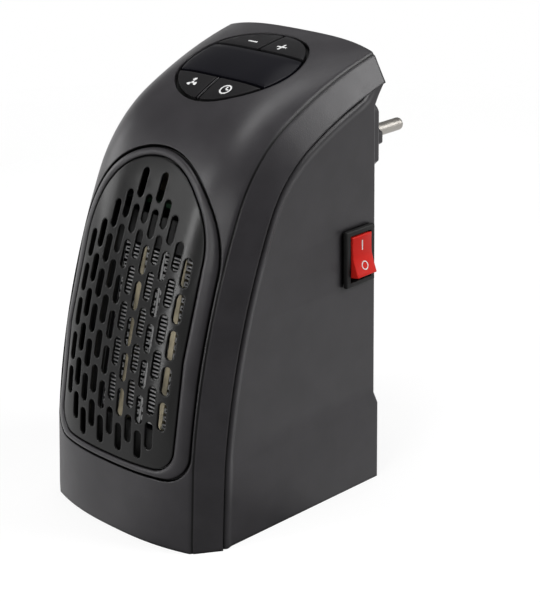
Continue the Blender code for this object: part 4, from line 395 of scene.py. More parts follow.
def flat_plate(loops, low, high):
    """Closed plate between two heights, from an outline and loops of holes."""
    curve = bpy.data.curves.new("outline", "CURVE")
    curve.dimensions = "2D"
    curve.fill_mode = "BOTH"
    curve.extrude = (high - low) / 2
    for loop in loops:
        spline = curve.splines.new("POLY")
        spline.points.add(len(loop) - 1)
        for point, (across, along) in zip(spline.points, loop):
            point.co = (across, along, 0.0, 1.0)
        spline.use_cyclic_u = True
    made = evaluated(added("loose", curve))
    work = opened(made)
    ops.remove_doubles(work, verts=work.verts, dist=WELD)
    face_outwards(work)
    ops.translate(work, vec=(0.0, 0.0, (low + high) / 2), verts=work.verts)
    return closed(work, made)


def sliced(mesh, stations, columns=()):
    """Plate split at stations and columns, so that it can follow a curve."""
    work = opened(mesh)
    ops.dissolve_limit(work, angle_limit=FLAT_TURN, verts=work.verts, edges=work.edges)
    planes = [((0.0, station, 0.0), (0.0, 1.0, 0.0)) for station in stations]
    planes += [((column, 0.0, 0.0), (1.0, 0.0, 0.0)) for column in columns]
    for place, normal in planes:
        geometry = work.verts[:] + work.edges[:] + work.faces[:]
        ops.bisect_plane(work, geom=geometry, dist=WELD, plane_co=place, plane_no=normal)
    return closed(work, mesh)


def evenly(start, end, count):
    return [start + (end - start) * step / count for step in range(count + 1)]


def dome(radius, top, across, down, steps):
    """Rounded top edge of a turned solid, from the inside out."""
    turns = evenly(0.0, pi / 2, steps)
    return [(radius - across * (1.0 - sin(turn)), top - down * (1.0 - cos(turn))) for turn in turns]


def eased(step, start, end, first, last):
    """Curve from start to end with the given slopes, at a step from 0 to 1."""
    ease = step * step * (3.0 - 2.0 * step)
    return start + (end - start) * ease + first * step * (1.0 - step) ** 2 + last * step * step * (step - 1.0)


FACE_LENGTH = FACE_RADIUS * FACE_TURN
BROW_HEADING = pi / 2 - FACE_TURN
BROW_Y = FOOT_Y + FACE_RADIUS * (1.0 - sin(BROW_HEADING))
BROW_Z = FACE_RADIUS * cos(BROW_HEADING)
DECK_HEADING = BROW_HEADING - BROW_TURN
DECK_START = FACE_LENGTH + BROW_RADIUS * BROW_TURN
DECK_Y = BROW_Y + BROW_RADIUS * (sin(BROW_HEADING) - sin(DECK_HEADING))
DECK_Z = BROW_Z + BROW_RADIUS * (cos(DECK_HEADING) - cos(BROW_HEADING))


def deck_station(y, inset):
    """Ridge length at which a line that runs inset below the ridge reaches y."""
    sine = (DECK_Y + DECK_RADIUS * sin(DECK_HEADING) - y) / (DECK_RADIUS - inset)
    return DECK_START + DECK_RADIUS * (DECK_HEADING - asin(sine))


def face_station(z, inset):
    """The same for a height z on the face."""
    return FACE_RADIUS * asin(z / (FACE_RADIUS - inset))


RIDGE_LENGTH = deck_station(HOOD_REAR_Y, 0.0)
ARCS = (  # y, z, heading, radius and length before each arc of the ridge
    (FOOT_Y, 0.0, pi / 2, FACE_RADIUS, 0.0),
    (BROW_Y, BROW_Z, BROW_HEADING, BROW_RADIUS, FACE_LENGTH),
    (DECK_Y, DECK_Z, DECK_HEADING, DECK_RADIUS, DECK_START),
)


def ridge(station):
    """Point (y, z) of the ridge and its heading above +Y, at a length measured up from the foot."""
    y, z, start, radius, before = ARCS[(station > FACE_LENGTH) + (station > DECK_START)]
    heading = start - (station - before) / radius
    y += radius * (sin(start) - sin(heading))
    z += radius * (cos(heading) - cos(start))
    return y, z, heading


def off_ridge(x, station, offset):
    y, z, heading = ridge(station)
    return Vector((x, y - sin(heading) * offset, z + cos(heading) * offset))


def along_crown(station, values):
    share = min(max(station / RIDGE_LENGTH, 0.0), 1.0)
    slopes = np.gradient(values, CROWN_STATION_SHARES)
    index = min(sum(share >= start for start in CROWN_STATION_SHARES), len(values) - 1) - 1
    start, end = CROWN_STATION_SHARES[index : index + 2]
    span = end - start
    first, last = slopes[index] * span, slopes[index + 1] * span
    return eased((share - start) / span, values[index], values[index + 1], first, last)


def sharp_crown(x, station):
    """How far the crowned face, or the band that slopes back beside it, stands outside the ridge."""
    if abs(x) > RIDGE_X:
        return -BAND_DROP * (abs(x) - RIDGE_X) / (BODY_X - RIDGE_X)
    height = CROWN_HEIGHT * along_crown(station, CROWN_HEIGHT_SHARES)
    power = along_crown(station, CROWN_POWERS)
    across = min(abs(x) / RIDGE_X, 1.0)
    return float(height * (1.0 - across ** power))


def crown(x, station):
    """The same, with the fold between them rounded."""
    low, high = RIDGE_X - FOLD_ROUND, RIDGE_X + FOLD_ROUND
    if not low < abs(x) < high:
        return sharp_crown(x, station)
    crease = CREASE_DEPTH * exp(-(((abs(x) - RIDGE_X) / CREASE_WIDTH) ** 2))
    tiny = FOLD_ROUND / 50
    span = high - low
    start, end = sharp_crown(low, station), sharp_crown(high, station)
    first = span * (start - sharp_crown(low - tiny, station)) / tiny
    last = span * (sharp_crown(high + tiny, station) - end) / tiny
    return eased((abs(x) - low) / span, start, end, first, last) - crease


def strip_points(z, wall, front_side, strip_end):
    """Soft bead along the parting line, which falls to the side panel."""
    rim = line_y(z, BAND_DROP + SEAM_GAP)
    row = []
    for share in evenly(0.0, 1.0, STRIP_STEPS):
        x = BODY_X - STRIP_EDGE_DROP * max(0.0, 1.0 - share / STRIP_CREST_SHARE) ** 2
        if share > STRIP_CREST_SHARE:
            fall = (share - STRIP_CREST_SHARE) / (1.0 - STRIP_CREST_SHARE)
            x += (front_side - BODY_X) * (1.0 - cos(pi * fall)) / 2
        row.append(Vector((x - wall, rim + (strip_end - rim) * share, z)))
    return row


def on_shell(x, station, level=0.0):
    return off_ridge(x, station, crown(x, station) + level)


def bent(mesh, crowned=True):
    """Carry a plate from the unrolled face (x, station, level) to its place on the shell."""
    place = on_shell if crowned else off_ridge
    for vertex in mesh.vertices:
        vertex.co = place(*vertex.co)
    return mesh


def stretched(station, y, inset):
    """Station moved along the deck, for a row that runs inset below the ridge and ends at y."""
    if station <= DECK_START:
        return station
    end = deck_station(y, inset)
    return DECK_START + (station - DECK_START) * (end - DECK_START) / (RIDGE_LENGTH - DECK_START)


# Rows of facets that both shells share along the parting line
SKIRT_LOW, SKIRT_HIGH = [face_station(z, REAR_INSET + STRIP_WIDTH) for z in (SKIRT_HEIGHT, SKIRT_TOP)]
PROFILE_STATIONS = [0.0, SKIRT_LOW] + evenly(SKIRT_HIGH, FACE_LENGTH, FACE_ROWS)
PROFILE_STATIONS += evenly(FACE_LENGTH, DECK_START, BROW_ROWS)[1:] + evenly(DECK_START, RIDGE_LENGTH, DECK_ROWS)[1:]


def hood_rear_y(x):
    """The hood's rear edge is bowed in plan."""
    share = min(abs(x) / RIDGE_X, 1.0)
    return HOOD_REAR_Y + HOOD_BOW * (1.0 - share * share)


def parting_point(station, inset, end_y, x):
    return off_ridge(x, stretched(station, end_y, inset), -inset)


def arch(sizes, grow):
    """Arch on straight sides with a rounded foot, on the unrolled face, anticlockwise."""
    half_width, bottom, shoulder, apex, corner = [size + share * grow for size, share in zip(sizes, ARCH_GROWTH)]
    points = [(share * (half_width - corner), bottom) for share in FOOT_POINT_SHARES]
    for angle in evenly(0.0, pi / 2, OUTLINE_CORNER_STEPS):
        across = half_width - corner + corner * sin(angle)
        points.append((across, bottom + corner - corner * cos(angle)))
    foot = [(across, along + FOOT_RISE * (across / half_width) ** 2) for across, along in points]
    sides = [(half_width, (bottom + corner + shoulder) / 2)]
    for angle in evenly(0.0, pi / 2, OUTLINE_ARCH_STEPS)[:-1]:
        sides.append((half_width * cos(angle), shoulder + (apex - shoulder) * sin(angle)))
    points = foot + sides
    return [(0.0, bottom)] + points + [(0.0, apex)] + [(-across, along) for across, along in reversed(points)]


def oval(x, y, across, along, steps):
    turns = [2 * pi * step / steps for step in range(steps)]
    return [(x + across * cos(turn), y + along * sin(turn)) for turn in turns]


def circle(x, y, radius):
    return oval(x, y, radius, radius, CIRCLE_STEPS)


def panel_outline(grow):
    return oval(0.0, PANEL_STATION, PANEL_HALF_ACROSS + grow, PANEL_HALF_ALONG + grow, OVAL_STEPS)


def swept(work, rings, closed_ends):
    """Faces between matching rings of points, and from the last to the first if they close up."""
    loops = [[work.verts.new(point) for point in ring] for ring in rings]
    for first, second in zip(loops, loops[1:] + (loops[:1] if closed_ends else [])):
        for index in range(len(first)):
            following = (index + 1) % len(first)
            work.faces.new([first[index], first[following], second[following], second[index]])
    return loops


def shell_solid(sections):
    """Shell lofted through sections, each an outer and an inner row."""
    work = bmesh.new()
    rings = []
    for section in sections:
        outer, inner = [row + [Vector((-point.x, point.y, point.z)) for point in row[-2::-1]] for row in section]
        rings.append(outer + inner[::-1])
    loops = swept(work, rings, False)
    for ring in (loops[0], loops[-1]):
        for index in range(len(ring) // 2 - 1):
            work.faces.new([ring[index], ring[index + 1], ring[-index - 2], ring[-index - 1]])
    ops.remove_doubles(work, verts=work.verts, dist=WELD)
    ops.dissolve_degenerate(work, edges=work.edges, dist=WELD)
    return solid_from(work)


def loop_solid(rings):
    work = bmesh.new()
    swept(work, rings, True)
    return solid_from(work)


def front_row(station, wall=0.0, drop=0.0):
    """Points of the front shell, a wall or a drop below its face, from the right rim to the middle."""
    row = [parting_point(station, BAND_DROP, HOOD_LIP_Y - wall, BODY_X - wall)]
    depth = wall + drop
    narrower = (RIDGE_X - wall / 2) / RIDGE_X
    for x in FRONT_COLUMNS:
        end = stretched(station, hood_rear_y(x) - wall, depth - crown(x, RIDGE_LENGTH))
        row.append(on_shell(x * narrower, end, -depth))
    return row


def footed(outer, corner):
    """Section of a floor: an outer row and one from a corner straight to the middle plane."""
    count = len(outer) - 1
    return outer, [Vector((corner.x * (1.0 - step / count), corner.y, corner.z)) for step in range(count + 1)]


def hood_bottom(inset):
    row = [off_ridge(BODY_X - WALL, deck_station(HOOD_LIP_Y - inset, BAND_DROP), -BAND_DROP)]
    return row + [off_ridge(x, deck_station(hood_rear_y(x) - inset, BAND_DROP), -BAND_DROP) for x in FRONT_COLUMNS]


def front_shell_sections():
    """Rings of the front shell, from its foot to the hood's back edge."""
    inner = BODY_X - WALL
    sections = [footed(front_row(low), parting_point(low, BAND_DROP, HOOD_LIP_Y, inner)) for low in (0.0, WALL)]
    sections.append((front_row(WALL * 2), front_row(WALL, WALL)))
    sections += [(front_row(station), front_row(station, WALL)) for station in PROFILE_STATIONS[1:-1]]
    edge = SHELL_EDGE_ROUND
    near_end = RIDGE_LENGTH - edge * 2
    bevel = edge * (1.0 - sqrt(0.5))
    return sections + [
        (front_row(near_end - edge), front_row(near_end, WALL)),
        (front_row(near_end), front_row(RIDGE_LENGTH, WALL)),
        (front_row(RIDGE_LENGTH - edge), hood_bottom(WALL)),
        (front_row(RIDGE_LENGTH - bevel, 0.0, bevel), hood_bottom(WALL / 2)),
        (front_row(RIDGE_LENGTH, 0.0, edge), hood_bottom(0.0)),
    ]


def slot_loop(column, station):
    """Slot with round ends, clockwise."""
    radius = SLOT_WIDTH / 2
    straight = SLOT_LENGTH / 2 - radius
    points = []
    for end in (1, -1):
        for step in range(SLOT_END_STEPS + 1):
            angle = pi * step / SLOT_END_STEPS
            across = -cos(angle) * radius * end
            points.append((column * SLOT_COLUMN_PITCH + across, station + end * (straight + sin(angle) * radius)))
    return points


def slot_loops():
    loops = []
    for stagger, reaches in enumerate(SLOT_REACHES):
        for row, reach in enumerate(reaches):
            station = SLOT_TOP_ROW - stagger * SLOT_STAGGER - row * SLOT_ROW_PITCH
            loops += [slot_loop(column, station) for column in range(-reach, reach + 1, 2)]
    return loops


def inside(point, loop):
    crossings = 0
    for (ax, ay), (bx, by) in zip(loop, loop[1:] + loop[:1]):
        if (ay > point.y) != (by > point.y) and point.x < ax + (bx - ax) * (point.y - ay) / (by - ay):
            crossings += 1
    return crossings % 2 == 1


def on_plate(point, outline, holes):
    return inside(point, outline) and not any(inside(point, hole) for hole in holes)


def evenly_filled_plate(outline, holes, low, high):
    """Plate of short triangles, with a grid between the holes, so that it bends smoothly."""
    points, edges = [], []
    for loop in [outline] + holes:
        start = len(points)
        points += [Vector(point) for point in loop]
        edges += [(start + index, start + (index + 1) % len(loop)) for index in range(len(loop))]
    for x in evenly(-GRILLE_X, GRILLE_X, PLATE_GRID):
        grid = [Vector((x, y)) for y in evenly(GRILLE_ARCH[1], GRILLE_ARCH[3], PLATE_GRID * 2)]
        points += [point for point in grid if on_plate(point, outline, holes)]
    filled = delaunay_2d_cdt(points, edges, [], 0, WELD)
    work = bmesh.new()
    corners = [work.verts.new((point.x, point.y, high)) for point in filled[0]]
    for face in filled[2]:
        centre = sum((filled[0][index] for index in face), Vector((0.0, 0.0))) / len(face)
        if on_plate(centre, outline, holes):
            work.faces.new([corners[index] for index in face])
    ops.delete(work, geom=[corner for corner in corners if not corner.link_faces], context="VERTS")
    made = ops.extrude_face_region(work, geom=work.faces[:], use_keep_orig=True)["geom"]
    sunk = [item for item in made if isinstance(item, bmesh.types.BMVert)]
    ops.translate(work, vec=(0.0, 0.0, low - high), verts=sunk)
    return solid_from(work)


def panel_part(side, front, rear):
    """Part of the oval between two stations, and on one side of the middle if side isn't 0."""
    work = bmesh.new()
    work.faces.new([work.verts.new((x, station, 0.0)) for x, station in panel_outline(-PANEL_GAP)])
    planes = [((0.0, front, 0.0), (0.0, -1.0, 0.0)), ((0.0, rear, 0.0), (0.0, 1.0, 0.0))]
    if side:
        planes.append(((side * PANEL_GAP, 0.0, 0.0), (-side, 0.0, 0.0)))
    for place, normal in planes:
        geometry = work.verts[:] + work.edges[:] + work.faces[:]
        ops.bisect_plane(work, geom=geometry, plane_co=place, plane_no=normal, clear_outer=True)
    loop = [(vertex.co.x, vertex.co.y) for vertex in work.faces[:][0].verts]
    work.free()
    return loop


def panel_plate(loop, levels, edge=FINE_ROUND):
    """Piece of the control panel, which bends like the shell round it."""
    columns = [side * share * RIDGE_X for share in CROWN_COLUMN_SHARES[1:-1] for side in (-1, 1)]
    plate = sliced(flat_plate([loop], *levels), PROFILE_STATIONS, columns)
    return rounded(bent(plate), edge, 2, PLATE_CORNER_TURN)


def line_points(inset):
    """Points (y, z) of the line that runs inset below the ridge."""
    points = [off_ridge(0.0, station, -inset) for station in evenly(0.0, RIDGE_LENGTH + STRIP_WIDTH, LINE_STEPS)]
    return [point.y for point in points], [point.z for point in points]


def line_y(z, inset):
    ys, zs = line_points(inset)
    return float(np.interp(z, zs, ys))


def line_z(y, inset):
    return float(np.interp(y, *line_points(inset)))


HOOD_LIP_Z = line_z(HOOD_LIP_Y, REAR_INSET)
SLANT_START = HOOD_LIP_Z - HOOD_SLANT_DROP


def back_y(x, z):
    """The back wall is upright, then slants out to the hood, bowed like its edge."""
    share = max(0.0, (z - SLANT_START) / HOOD_SLANT_DROP)
    return BACK_Y + (HOOD_LIP_Y - BACK_Y + hood_rear_y(x) - HOOD_REAR_Y) * share


def rear_row(z, wall=0.0):
    """Points round the rear shell, from the right rim to the middle of the back."""
    back = back_y(RIDGE_X, z)
    strip_end = min(line_y(z, REAR_INSET + STRIP_WIDTH), back - BACK_CORNER_RADIUS - WALL)
    front_side = rear_side = SIDE_X
    if z < SKIRT_HEIGHT + SKIRT_CHAMFER / 2:
        front_side, rear_side = SKIRT_FRONT_X, SKIRT_REAR_X
    radius = max(BACK_CORNER_RADIUS - wall, BACK_CORNER_RADIUS / 2)
    corner = Vector((rear_side - wall - radius, back - wall - radius, z))
    row = strip_points(z, wall, front_side, strip_end)
    for turn in evenly(0.0, pi / 2, CORNER_STEPS):
        row.append(corner + Vector((radius * cos(turn), radius * sin(turn), 0.0)))
    for share in BACK_COLUMN_SHARES:
        x = share * RIDGE_X
        row.append(Vector((x, back_y(x, z) - wall, z)))
    return row


# Heights of the rear shell's rows, which follow the front shell's
RIM_HEIGHTS = [parting_point(station, REAR_INSET, HOOD_LIP_Y, 0.0).z for station in PROFILE_STATIONS]
REAR_HEIGHTS = [SKIRT_HEIGHT, SKIRT_TOP] + [z for z in RIM_HEIGHTS if SKIRT_TOP + WALL < z < SLANT_START - WALL / 2]
REAR_HEIGHTS += evenly(SLANT_START, HOOD_LIP_Z - WALL * 2, 2)


def rear_top_row(wall=0.0):
    """Top edge of the rear shell, raised to the line under the hood."""
    last = REAR_HEIGHTS[-1]
    row = rear_row(last, wall)
    rim_y = line_y(last, REAR_INSET)
    raised = []
    for point in row:
        base = back_y(point.x, last) - wall
        share = max(0.0, (point.y - rim_y) / (base - rim_y))
        target = HOOD_LIP_Y + hood_rear_y(point.x) - HOOD_REAR_Y - wall
        y = rim_y + WALL + (target - rim_y - WALL) * share
        x = min(point.x * BODY_X / SIDE_X, row[0].x)
        raised.append(Vector((x, y, line_z(y, REAR_INSET))))
    return raised


def rear_shell_sections():
    """Rings of the rear shell, from its floor to the edge under the hood."""
    sections = [footed(rear_row(z), rear_row(z, WALL)[0]) for z in (0.0, WALL)]
    sections.append((rear_row(WALL * 2), rear_row(WALL, WALL)))
    sections += [(rear_row(z), rear_row(z, WALL)) for z in REAR_HEIGHTS]
    return sections + [(rear_top_row(), rear_top_row(WALL))]


def eight_sided(mesh):
    """The drum's round rings pushed out to flat sides with cut corners; the neck stays round."""
    for vertex in mesh.vertices:
        x, z = vertex.co.x, vertex.co.z - PLUG_Z
        radius = hypot(x, z)
        if radius > PLUG_NECK_RADIUS + SEAT_GAP:
            corner = (abs(x) + abs(z)) * sqrt(0.5) * (PLUG_TOP_CORNER_SHARE if z > 0.0 else 1.0)
            reach = radius / max(abs(x), abs(z), corner)
            vertex.co.x, vertex.co.z = x * reach, PLUG_Z + z * reach
    return mesh


def fin_loop(centre):
    """Zigzag sheet seen along the air flow."""
    count = int(2 * (HEATER_HALF_LENGTH - FIN_HALF_PITCH) / FIN_HALF_PITCH)
    turn, half = FIN_TURN_SHARE * FIN_HALF_PITCH, FIN_THICKNESS / 2
    right, left = [], []
    for step in range(count + 1):
        side, y = (-1) ** step, (step - count / 2) * FIN_HALF_PITCH
        outer = [(centre + side * FIN_WIDTH / 2, y + end * (turn + half)) for end in (-1, 1)]
        inner = [(centre + side * (FIN_WIDTH / 2 - FIN_THICKNESS), y + end * (turn - half)) for end in (-1, 1)]
        right += outer if side > 0 else inner
        left += inner if side > 0 else outer
    return right + left[::-1]


def fill(made, inputs):
    """Inputs of a node: a socket is linked, anything else is the value."""
    for name, value in inputs.items():
        if isinstance(value, bpy.types.NodeSocket):
            made.id_data.links.new(value, made.inputs[name])
        else:
            made.inputs[name].default_value = value


def wired(tree, kind, inputs, output, operation=None):
    """One output of a new shader node."""
    made = tree.nodes.new("ShaderNode" + kind)
    if operation:
        made.operation = operation
    if kind == "Mix":
        made.data_type = "RGBA"
    if kind in ("Bevel", "AmbientOcclusion"):
        made.samples = RAY_SAMPLES
    fill(made, inputs)
    return made.outputs[output]


def maths(tree, operation, *values):
    return wired(tree, "Math", dict(enumerate(values)), "Value", operation)


def along_way(tree, way, axis):
    return wired(tree, "VectorMath", {0: way, 1: axis}, "Value", "DOT_PRODUCT")


def ranged(tree, value, start, end, low=0.0, high=1.0):
    ends = {"Value": value, "From Min": start, "From Max": end, "To Min": low, "To Max": high}
    return wired(tree, "MapRange", ends, "Result")


def noise(tree, scale, detail, low=0.0, high=1.0):
    place = wired(tree, "TexCoord", {}, "Object")
    texture = wired(tree, "TexNoise", {"Scale": scale, "Detail": detail, "Vector": place}, "Fac")
    return ranged(tree, texture, *NOISE_SPREAD, low, high)


def mixed(tree, share, low, high):
    return wired(tree, "Mix", {"Factor": share, "A": low, "B": high}, "Result")


def new_material(name):
    made = bpy.data.materials.new(name)
    made.use_nodes = True
    return made, made.node_tree, made.node_tree.nodes["Principled BSDF"]


def surface(name, colour, roughness, metallic, uneven, bump, edge, level):
    made, tree, shader = new_material(name)
    low, high = [(*[min(value * share, 1.0) for value in colour], 1.0) for share in (1.0 - uneven, 1.0 + uneven)]
    rough = [roughness * (1.0 - ROUGHNESS_SPREAD), min(roughness * (1.0 + ROUGHNESS_SPREAD), 1.0)]
    relief = {"Strength": bump, "Distance": GRAIN_DEPTH, "Height": noise(tree, *GRAIN_NOISE)}
    if edge:
        relief["Normal"] = wired(tree, "Bevel", {"Radius": edge}, "Normal")
    fill(shader, {
        "Base Color": mixed(tree, noise(tree, *COLOUR_NOISE), low, high),
        "Roughness": noise(tree, *ROUGHNESS_NOISE, *rough),
        "Normal": wired(tree, "Bump", relief, "Normal"),
        "Metallic": metallic,
    })
    shader.inputs["Specular IOR Level"].default_value = level
    return made


def darkened(made, share, dark):
    """The finish keeps its colour where the share is one, and is dark where it is nothing."""
    colour = made.node_tree.nodes["Principled BSDF"].inputs["Base Color"]
    before = colour.links[0].from_socket
    made.node_tree.links.new(mixed(made.node_tree, share, (dark, dark, dark, 1.0), before), colour)


def dark_gaps(made):
    """Hardly any light reaches the sides of narrow gaps."""
    lit = wired(made.node_tree, "AmbientOcclusion", {"Distance": GAP_REACH}, "AO")
    darkened(made, ranged(made.node_tree, lit, *GAP_LIGHT), GAP_DARK)


def dark_fold(made):
    """The shadow line in the groove of the fold, on both sides."""
    tree = made.node_tree
    across = wired(tree, "SeparateXYZ", {"Vector": wired(tree, "TexCoord", {}, "Object")}, "X")
    off = maths(tree, "SUBTRACT", maths(tree, "ABSOLUTE", across), RIDGE_X)
    darkened(made, ranged(tree, maths(tree, "ABSOLUTE", off), FOLD_LINE_REACH / 3, FOLD_LINE_REACH), GAP_DARK)


def painted_side_shade(made, axis):
    """Painted shade: faces square to the axis keep the colour; the others are darker, as faces deep in folds lie in
    shade.
    """
    tree = made.node_tree
    facing = wired(tree, "NewGeometry", {}, "True Normal")
    darkened(made, maths(tree, "ABSOLUTE", along_way(tree, facing, axis)), FIN_SIDE_SHADE)


# Colour, roughness, metal, unevenness of the colour, depth of the grain, rounding of edges and specular level
LOOKS = {
    "black_shell": ((0.0365, 0.0345, 0.0378), 0.34, 0.0, 0.12, 0.08, 0.0008, 0.3),
    "folded_shell": ((0.0365, 0.0345, 0.0378), 0.34, 0.0, 0.12, 0.08, 0.0008, 0.3),
    "gloss_black": ((0.014, 0.014, 0.014), 0.2, 0.0, 0.05, 0.01, 0.0007, 0.2),
    "smoked_window": ((0.006, 0.0058, 0.0085), 0.24, 0.0, 0.05, 0.0, 0.0002, 0.15),
    "button_black": ((0.0145, 0.014, 0.015), 0.4, 0.0, 0.12, 0.08, 0.0002, 0.15),
    "inner_black": ((0.014, 0.014, 0.014), 0.55, 0.0, 0.12, 0.06, 0.0002, 0.2),
    "red_rocker": ((0.66, 0.018, 0.012), 0.36, 0.0, 0.06, 0.01, 0.0003, 0.18),
    "nickel_plate": ((0.37, 0.352, 0.325), 0.4, 1.0, 0.05, 0.02, 0.0002, 0.5),
    "brass_strip": ((0.7, 0.5, 0.21), 0.3, 1.0, 0.08, 0.03, 0.0, 0.5),
    "zinc_steel": ((0.52, 0.525, 0.53), 0.36, 1.0, 0.08, 0.03, 0.0, 0.5),
    "fin_aluminium": ((0.32, 0.32, 0.32), 0.4, 0.1, 0.06, 0.03, 0.0, 0.5),
    "amber_film": ((0.36, 0.315, 0.215), 0.34, 0.0, 0.6, 0.03, 0.0, 0.5),
    "board_green": ((0.01, 0.04, 0.018), 0.4, 0.0, 0.12, 0.04, 0.0, 0.5),
    "impeller_white": ((0.56, 0.56, 0.54), 0.42, 0.0, 0.04, 0.04, 0.0, 0.5),
    "white_print": ((0.8, 0.8, 0.8), 0.5, 0.0, 0.04, 0.0, 0.0, 0.5),
}
FINISHES = {name: surface(name, *look) for name, look in LOOKS.items()}
# Painted shade: the fold's shadow line on the front shell, and shade in narrow gaps on the shell finishes
dark_fold(FINISHES["folded_shell"])
dark_gaps(FINISHES["black_shell"])
dark_gaps(FINISHES["folded_shell"])
# Painted shade on the heater fins' sides, by which way each face points
painted_side_shade(FINISHES["fin_aluminium"], HEATER_MATRIX.to_3x3() @ Vector((0.0, 0.0, 1.0)))


def paint(piece, finish):
    piece.data.materials.clear()
    piece.data.materials.append(FINISHES[finish])


for node, piece in frame["nodes"].items():
    paint(piece, slot_of_node[node])


def smoothed(mesh, sharp):
    """Smooth shading, broken at sharp turns."""
    work = opened(mesh)
    for face in work.faces:
        face.smooth = True
    for edge in work.edges:
        edge.smooth = len(edge.link_faces) == 2 and edge.calc_face_angle() < sharp
    return closed(work, mesh)


def show(name, mesh, finish, body, sharp=SHARP_TURN):
    piece = added(name, smoothed(mesh, sharp))
    paint(piece, finish)
    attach(piece, body)
    return piece


def skin(node, mesh, body="housing", finish=None, sharp=SHARP_TURN):
    """Piece that stands in for a solid."""
    piece = show(node + "_skin", mesh, finish or slot_of_node[node], body, sharp)
    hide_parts(node)


def front_skin():
    cutters = []
    for loop, low in ((arch(BEZEL_ARCH, GROOVE_HALF_WIDTH), -BAND_DROP), (panel_outline(PANEL_GAP), -BAND_DROP / 2)):
        plate = sliced(flat_plate([loop], low, CROWN_HEIGHT + CUT_OVERRUN), PROFILE_STATIONS)
        cutters.append(bent(plate, crowned=False))
    mesh = combined(shell_solid(front_shell_sections()), cutters, "DIFFERENCE")
    skin("front_shell", mesh, finish="folded_shell")


def vent(x, z):
    loop = []
    for side in (1, -1):
        for turn in evenly(-pi / 2, pi / 2, ROUND_STEPS):
            across = VENT_HALF_LENGTH - VENT_RADIUS + VENT_RADIUS * cos(turn)
            loop.append((x + side * across, -(z + side * VENT_RADIUS * sin(turn))))
    return placed(flat_plate([loop], BACK_Y - CUT_OVERRUN, BACK_Y + CUT_OVERRUN), TO_BACK)


def rear_skin():
    out = BACK_Y + CUT_OVERRUN
    cutters = [vent(side * VENT_X, VENT_BOTTOM + row * VENT_PITCH) for row in range(VENT_ROWS) for side in (-1, 1)]
    for x, z in SHELL_SCREW_PLACES:
        cutters.append(rod_y(SCREW_WELL_RADIUS, x, BACK_Y - SCREW_WELL_DEPTH, out, z))
    hole = PLUG_NECK_RADIUS + PLUG_HUB_CLEARANCE
    cutters.append(rod_y(hole, 0.0, BACK_Y - WALL - CUT_OVERRUN, out, PLUG_Z, DRUM_STEPS * 3))
    half_width, half_height = [half + SEAT_GAP for half in SWITCH_BODY_HALVES]
    low = (SIDE_X - WALL - CUT_OVERRUN, SWITCH_Y - half_width, SWITCH_Z - half_height)
    high = (SIDE_X + CUT_OVERRUN, SWITCH_Y + half_width, SWITCH_Z + half_height)
    cutters.append(box(low, high))
    back = BACK_Y - WALL / 2
    bosses = [rod_y(SCREW_BOSS_RADIUS, x, BACK_Y - SCREW_BOSS_DEPTH, back, z) for x, z in SHELL_SCREW_PLACES]
    mesh = combined(shell_solid(rear_shell_sections()), bosses, "UNION")
    mesh = combined(mesh, cutters, "DIFFERENCE")
    skin("rear_shell", mesh)


def bezel_skin():
    """Ring with a soft bead between the shell's groove and the grille."""
    outer, flange = arch(BEZEL_ARCH, -GROOVE_HALF_WIDTH), arch(BEZEL_ARCH, GROOVE_HALF_WIDTH - SEAT_GAP)
    inner, shelf = arch(GRILLE_ARCH, SEAT_GAP), arch(GRILLE_ARCH, -BEZEL_SHELF_WIDTH)
    sections = [(flange, -BEZEL_BACK_DEPTH), (flange, -GROOVE_DEPTH), (outer, -GROOVE_DEPTH)]
    for turn in evenly(0.0, pi, BEAD_STEPS):
        share = (1.0 - cos(turn)) / 2
        rise = sin(turn) ** BEAD_POWER
        between = [tuple(a + (b - a) * share for a, b in zip(*pair)) for pair in zip(outer, inner)]
        sections.append((between, -BEAD_SIDE_DROP + (BEAD_SIDE_DROP + BEZEL_BEAD_HEIGHT) * rise))
    sections += [(inner, -BEZEL_SHELF_DEPTH), (shelf, -BEZEL_SHELF_DEPTH), (shelf, -BEZEL_BACK_DEPTH)]
    rings = [[on_shell(x, station, level) for x, station in loop] for loop, level in sections]
    skin("grille_bezel", loop_solid(rings), finish="black_shell")


def grille_skin():
    plate = evenly_filled_plate(arch(GRILLE_ARCH, -SEAT_GAP), slot_loops(), *GRILLE_LEVELS)
    skin("front_grille", bent(plate), sharp=GRILLE_SHARP_TURN)


def window_skin():
    loop = panel_part(0, WINDOW_FRONT_STATION + PANEL_GAP, WINDOW_REAR_STATION - PANEL_GAP)
    skin("display_window", panel_plate(loop, WINDOW_LEVELS))


def mark(name, *loops):
    """Thin mark on the button that it is named after, from flat outlines (x, station)."""
    plate = flat_plate(loops, -MARK_THICKNESS, MARK_THICKNESS)
    for vertex in plate.vertices:
        x, station, level = vertex.co
        vertex.co = on_shell(x, station, level + BUTTON_LEVELS[1])
    show(name, plate, "white_print", name.split("_")[0])


def bar(x, station, half_across, half_along):
    corners = ((-1, -1), (1, -1), (1, 1), (-1, 1))
    return [(x + across * half_across, station + along * half_along) for across, along in corners]


def blade(x, station, turn):
    """One blade of the fan mark: a leaf that bends with the turn."""
    shares = evenly(0.0, 1.0, BLADE_STEPS)
    points = [(share, sin(pi * share) * FAN_MARK_BLADE) for share in shares]
    points += [(share, -sin(pi * share) * FAN_MARK_BLADE * FAN_MARK_HOLLOW) for share in shares[-2:0:-1]]
    loop = []
    for along, across in points:
        radius = FAN_MARK_HUB + (FAN_MARK_RADIUS - FAN_MARK_HUB) * along
        loop.append((x + radius * cos(turn + across), station + radius * sin(turn + across)))
    return loop


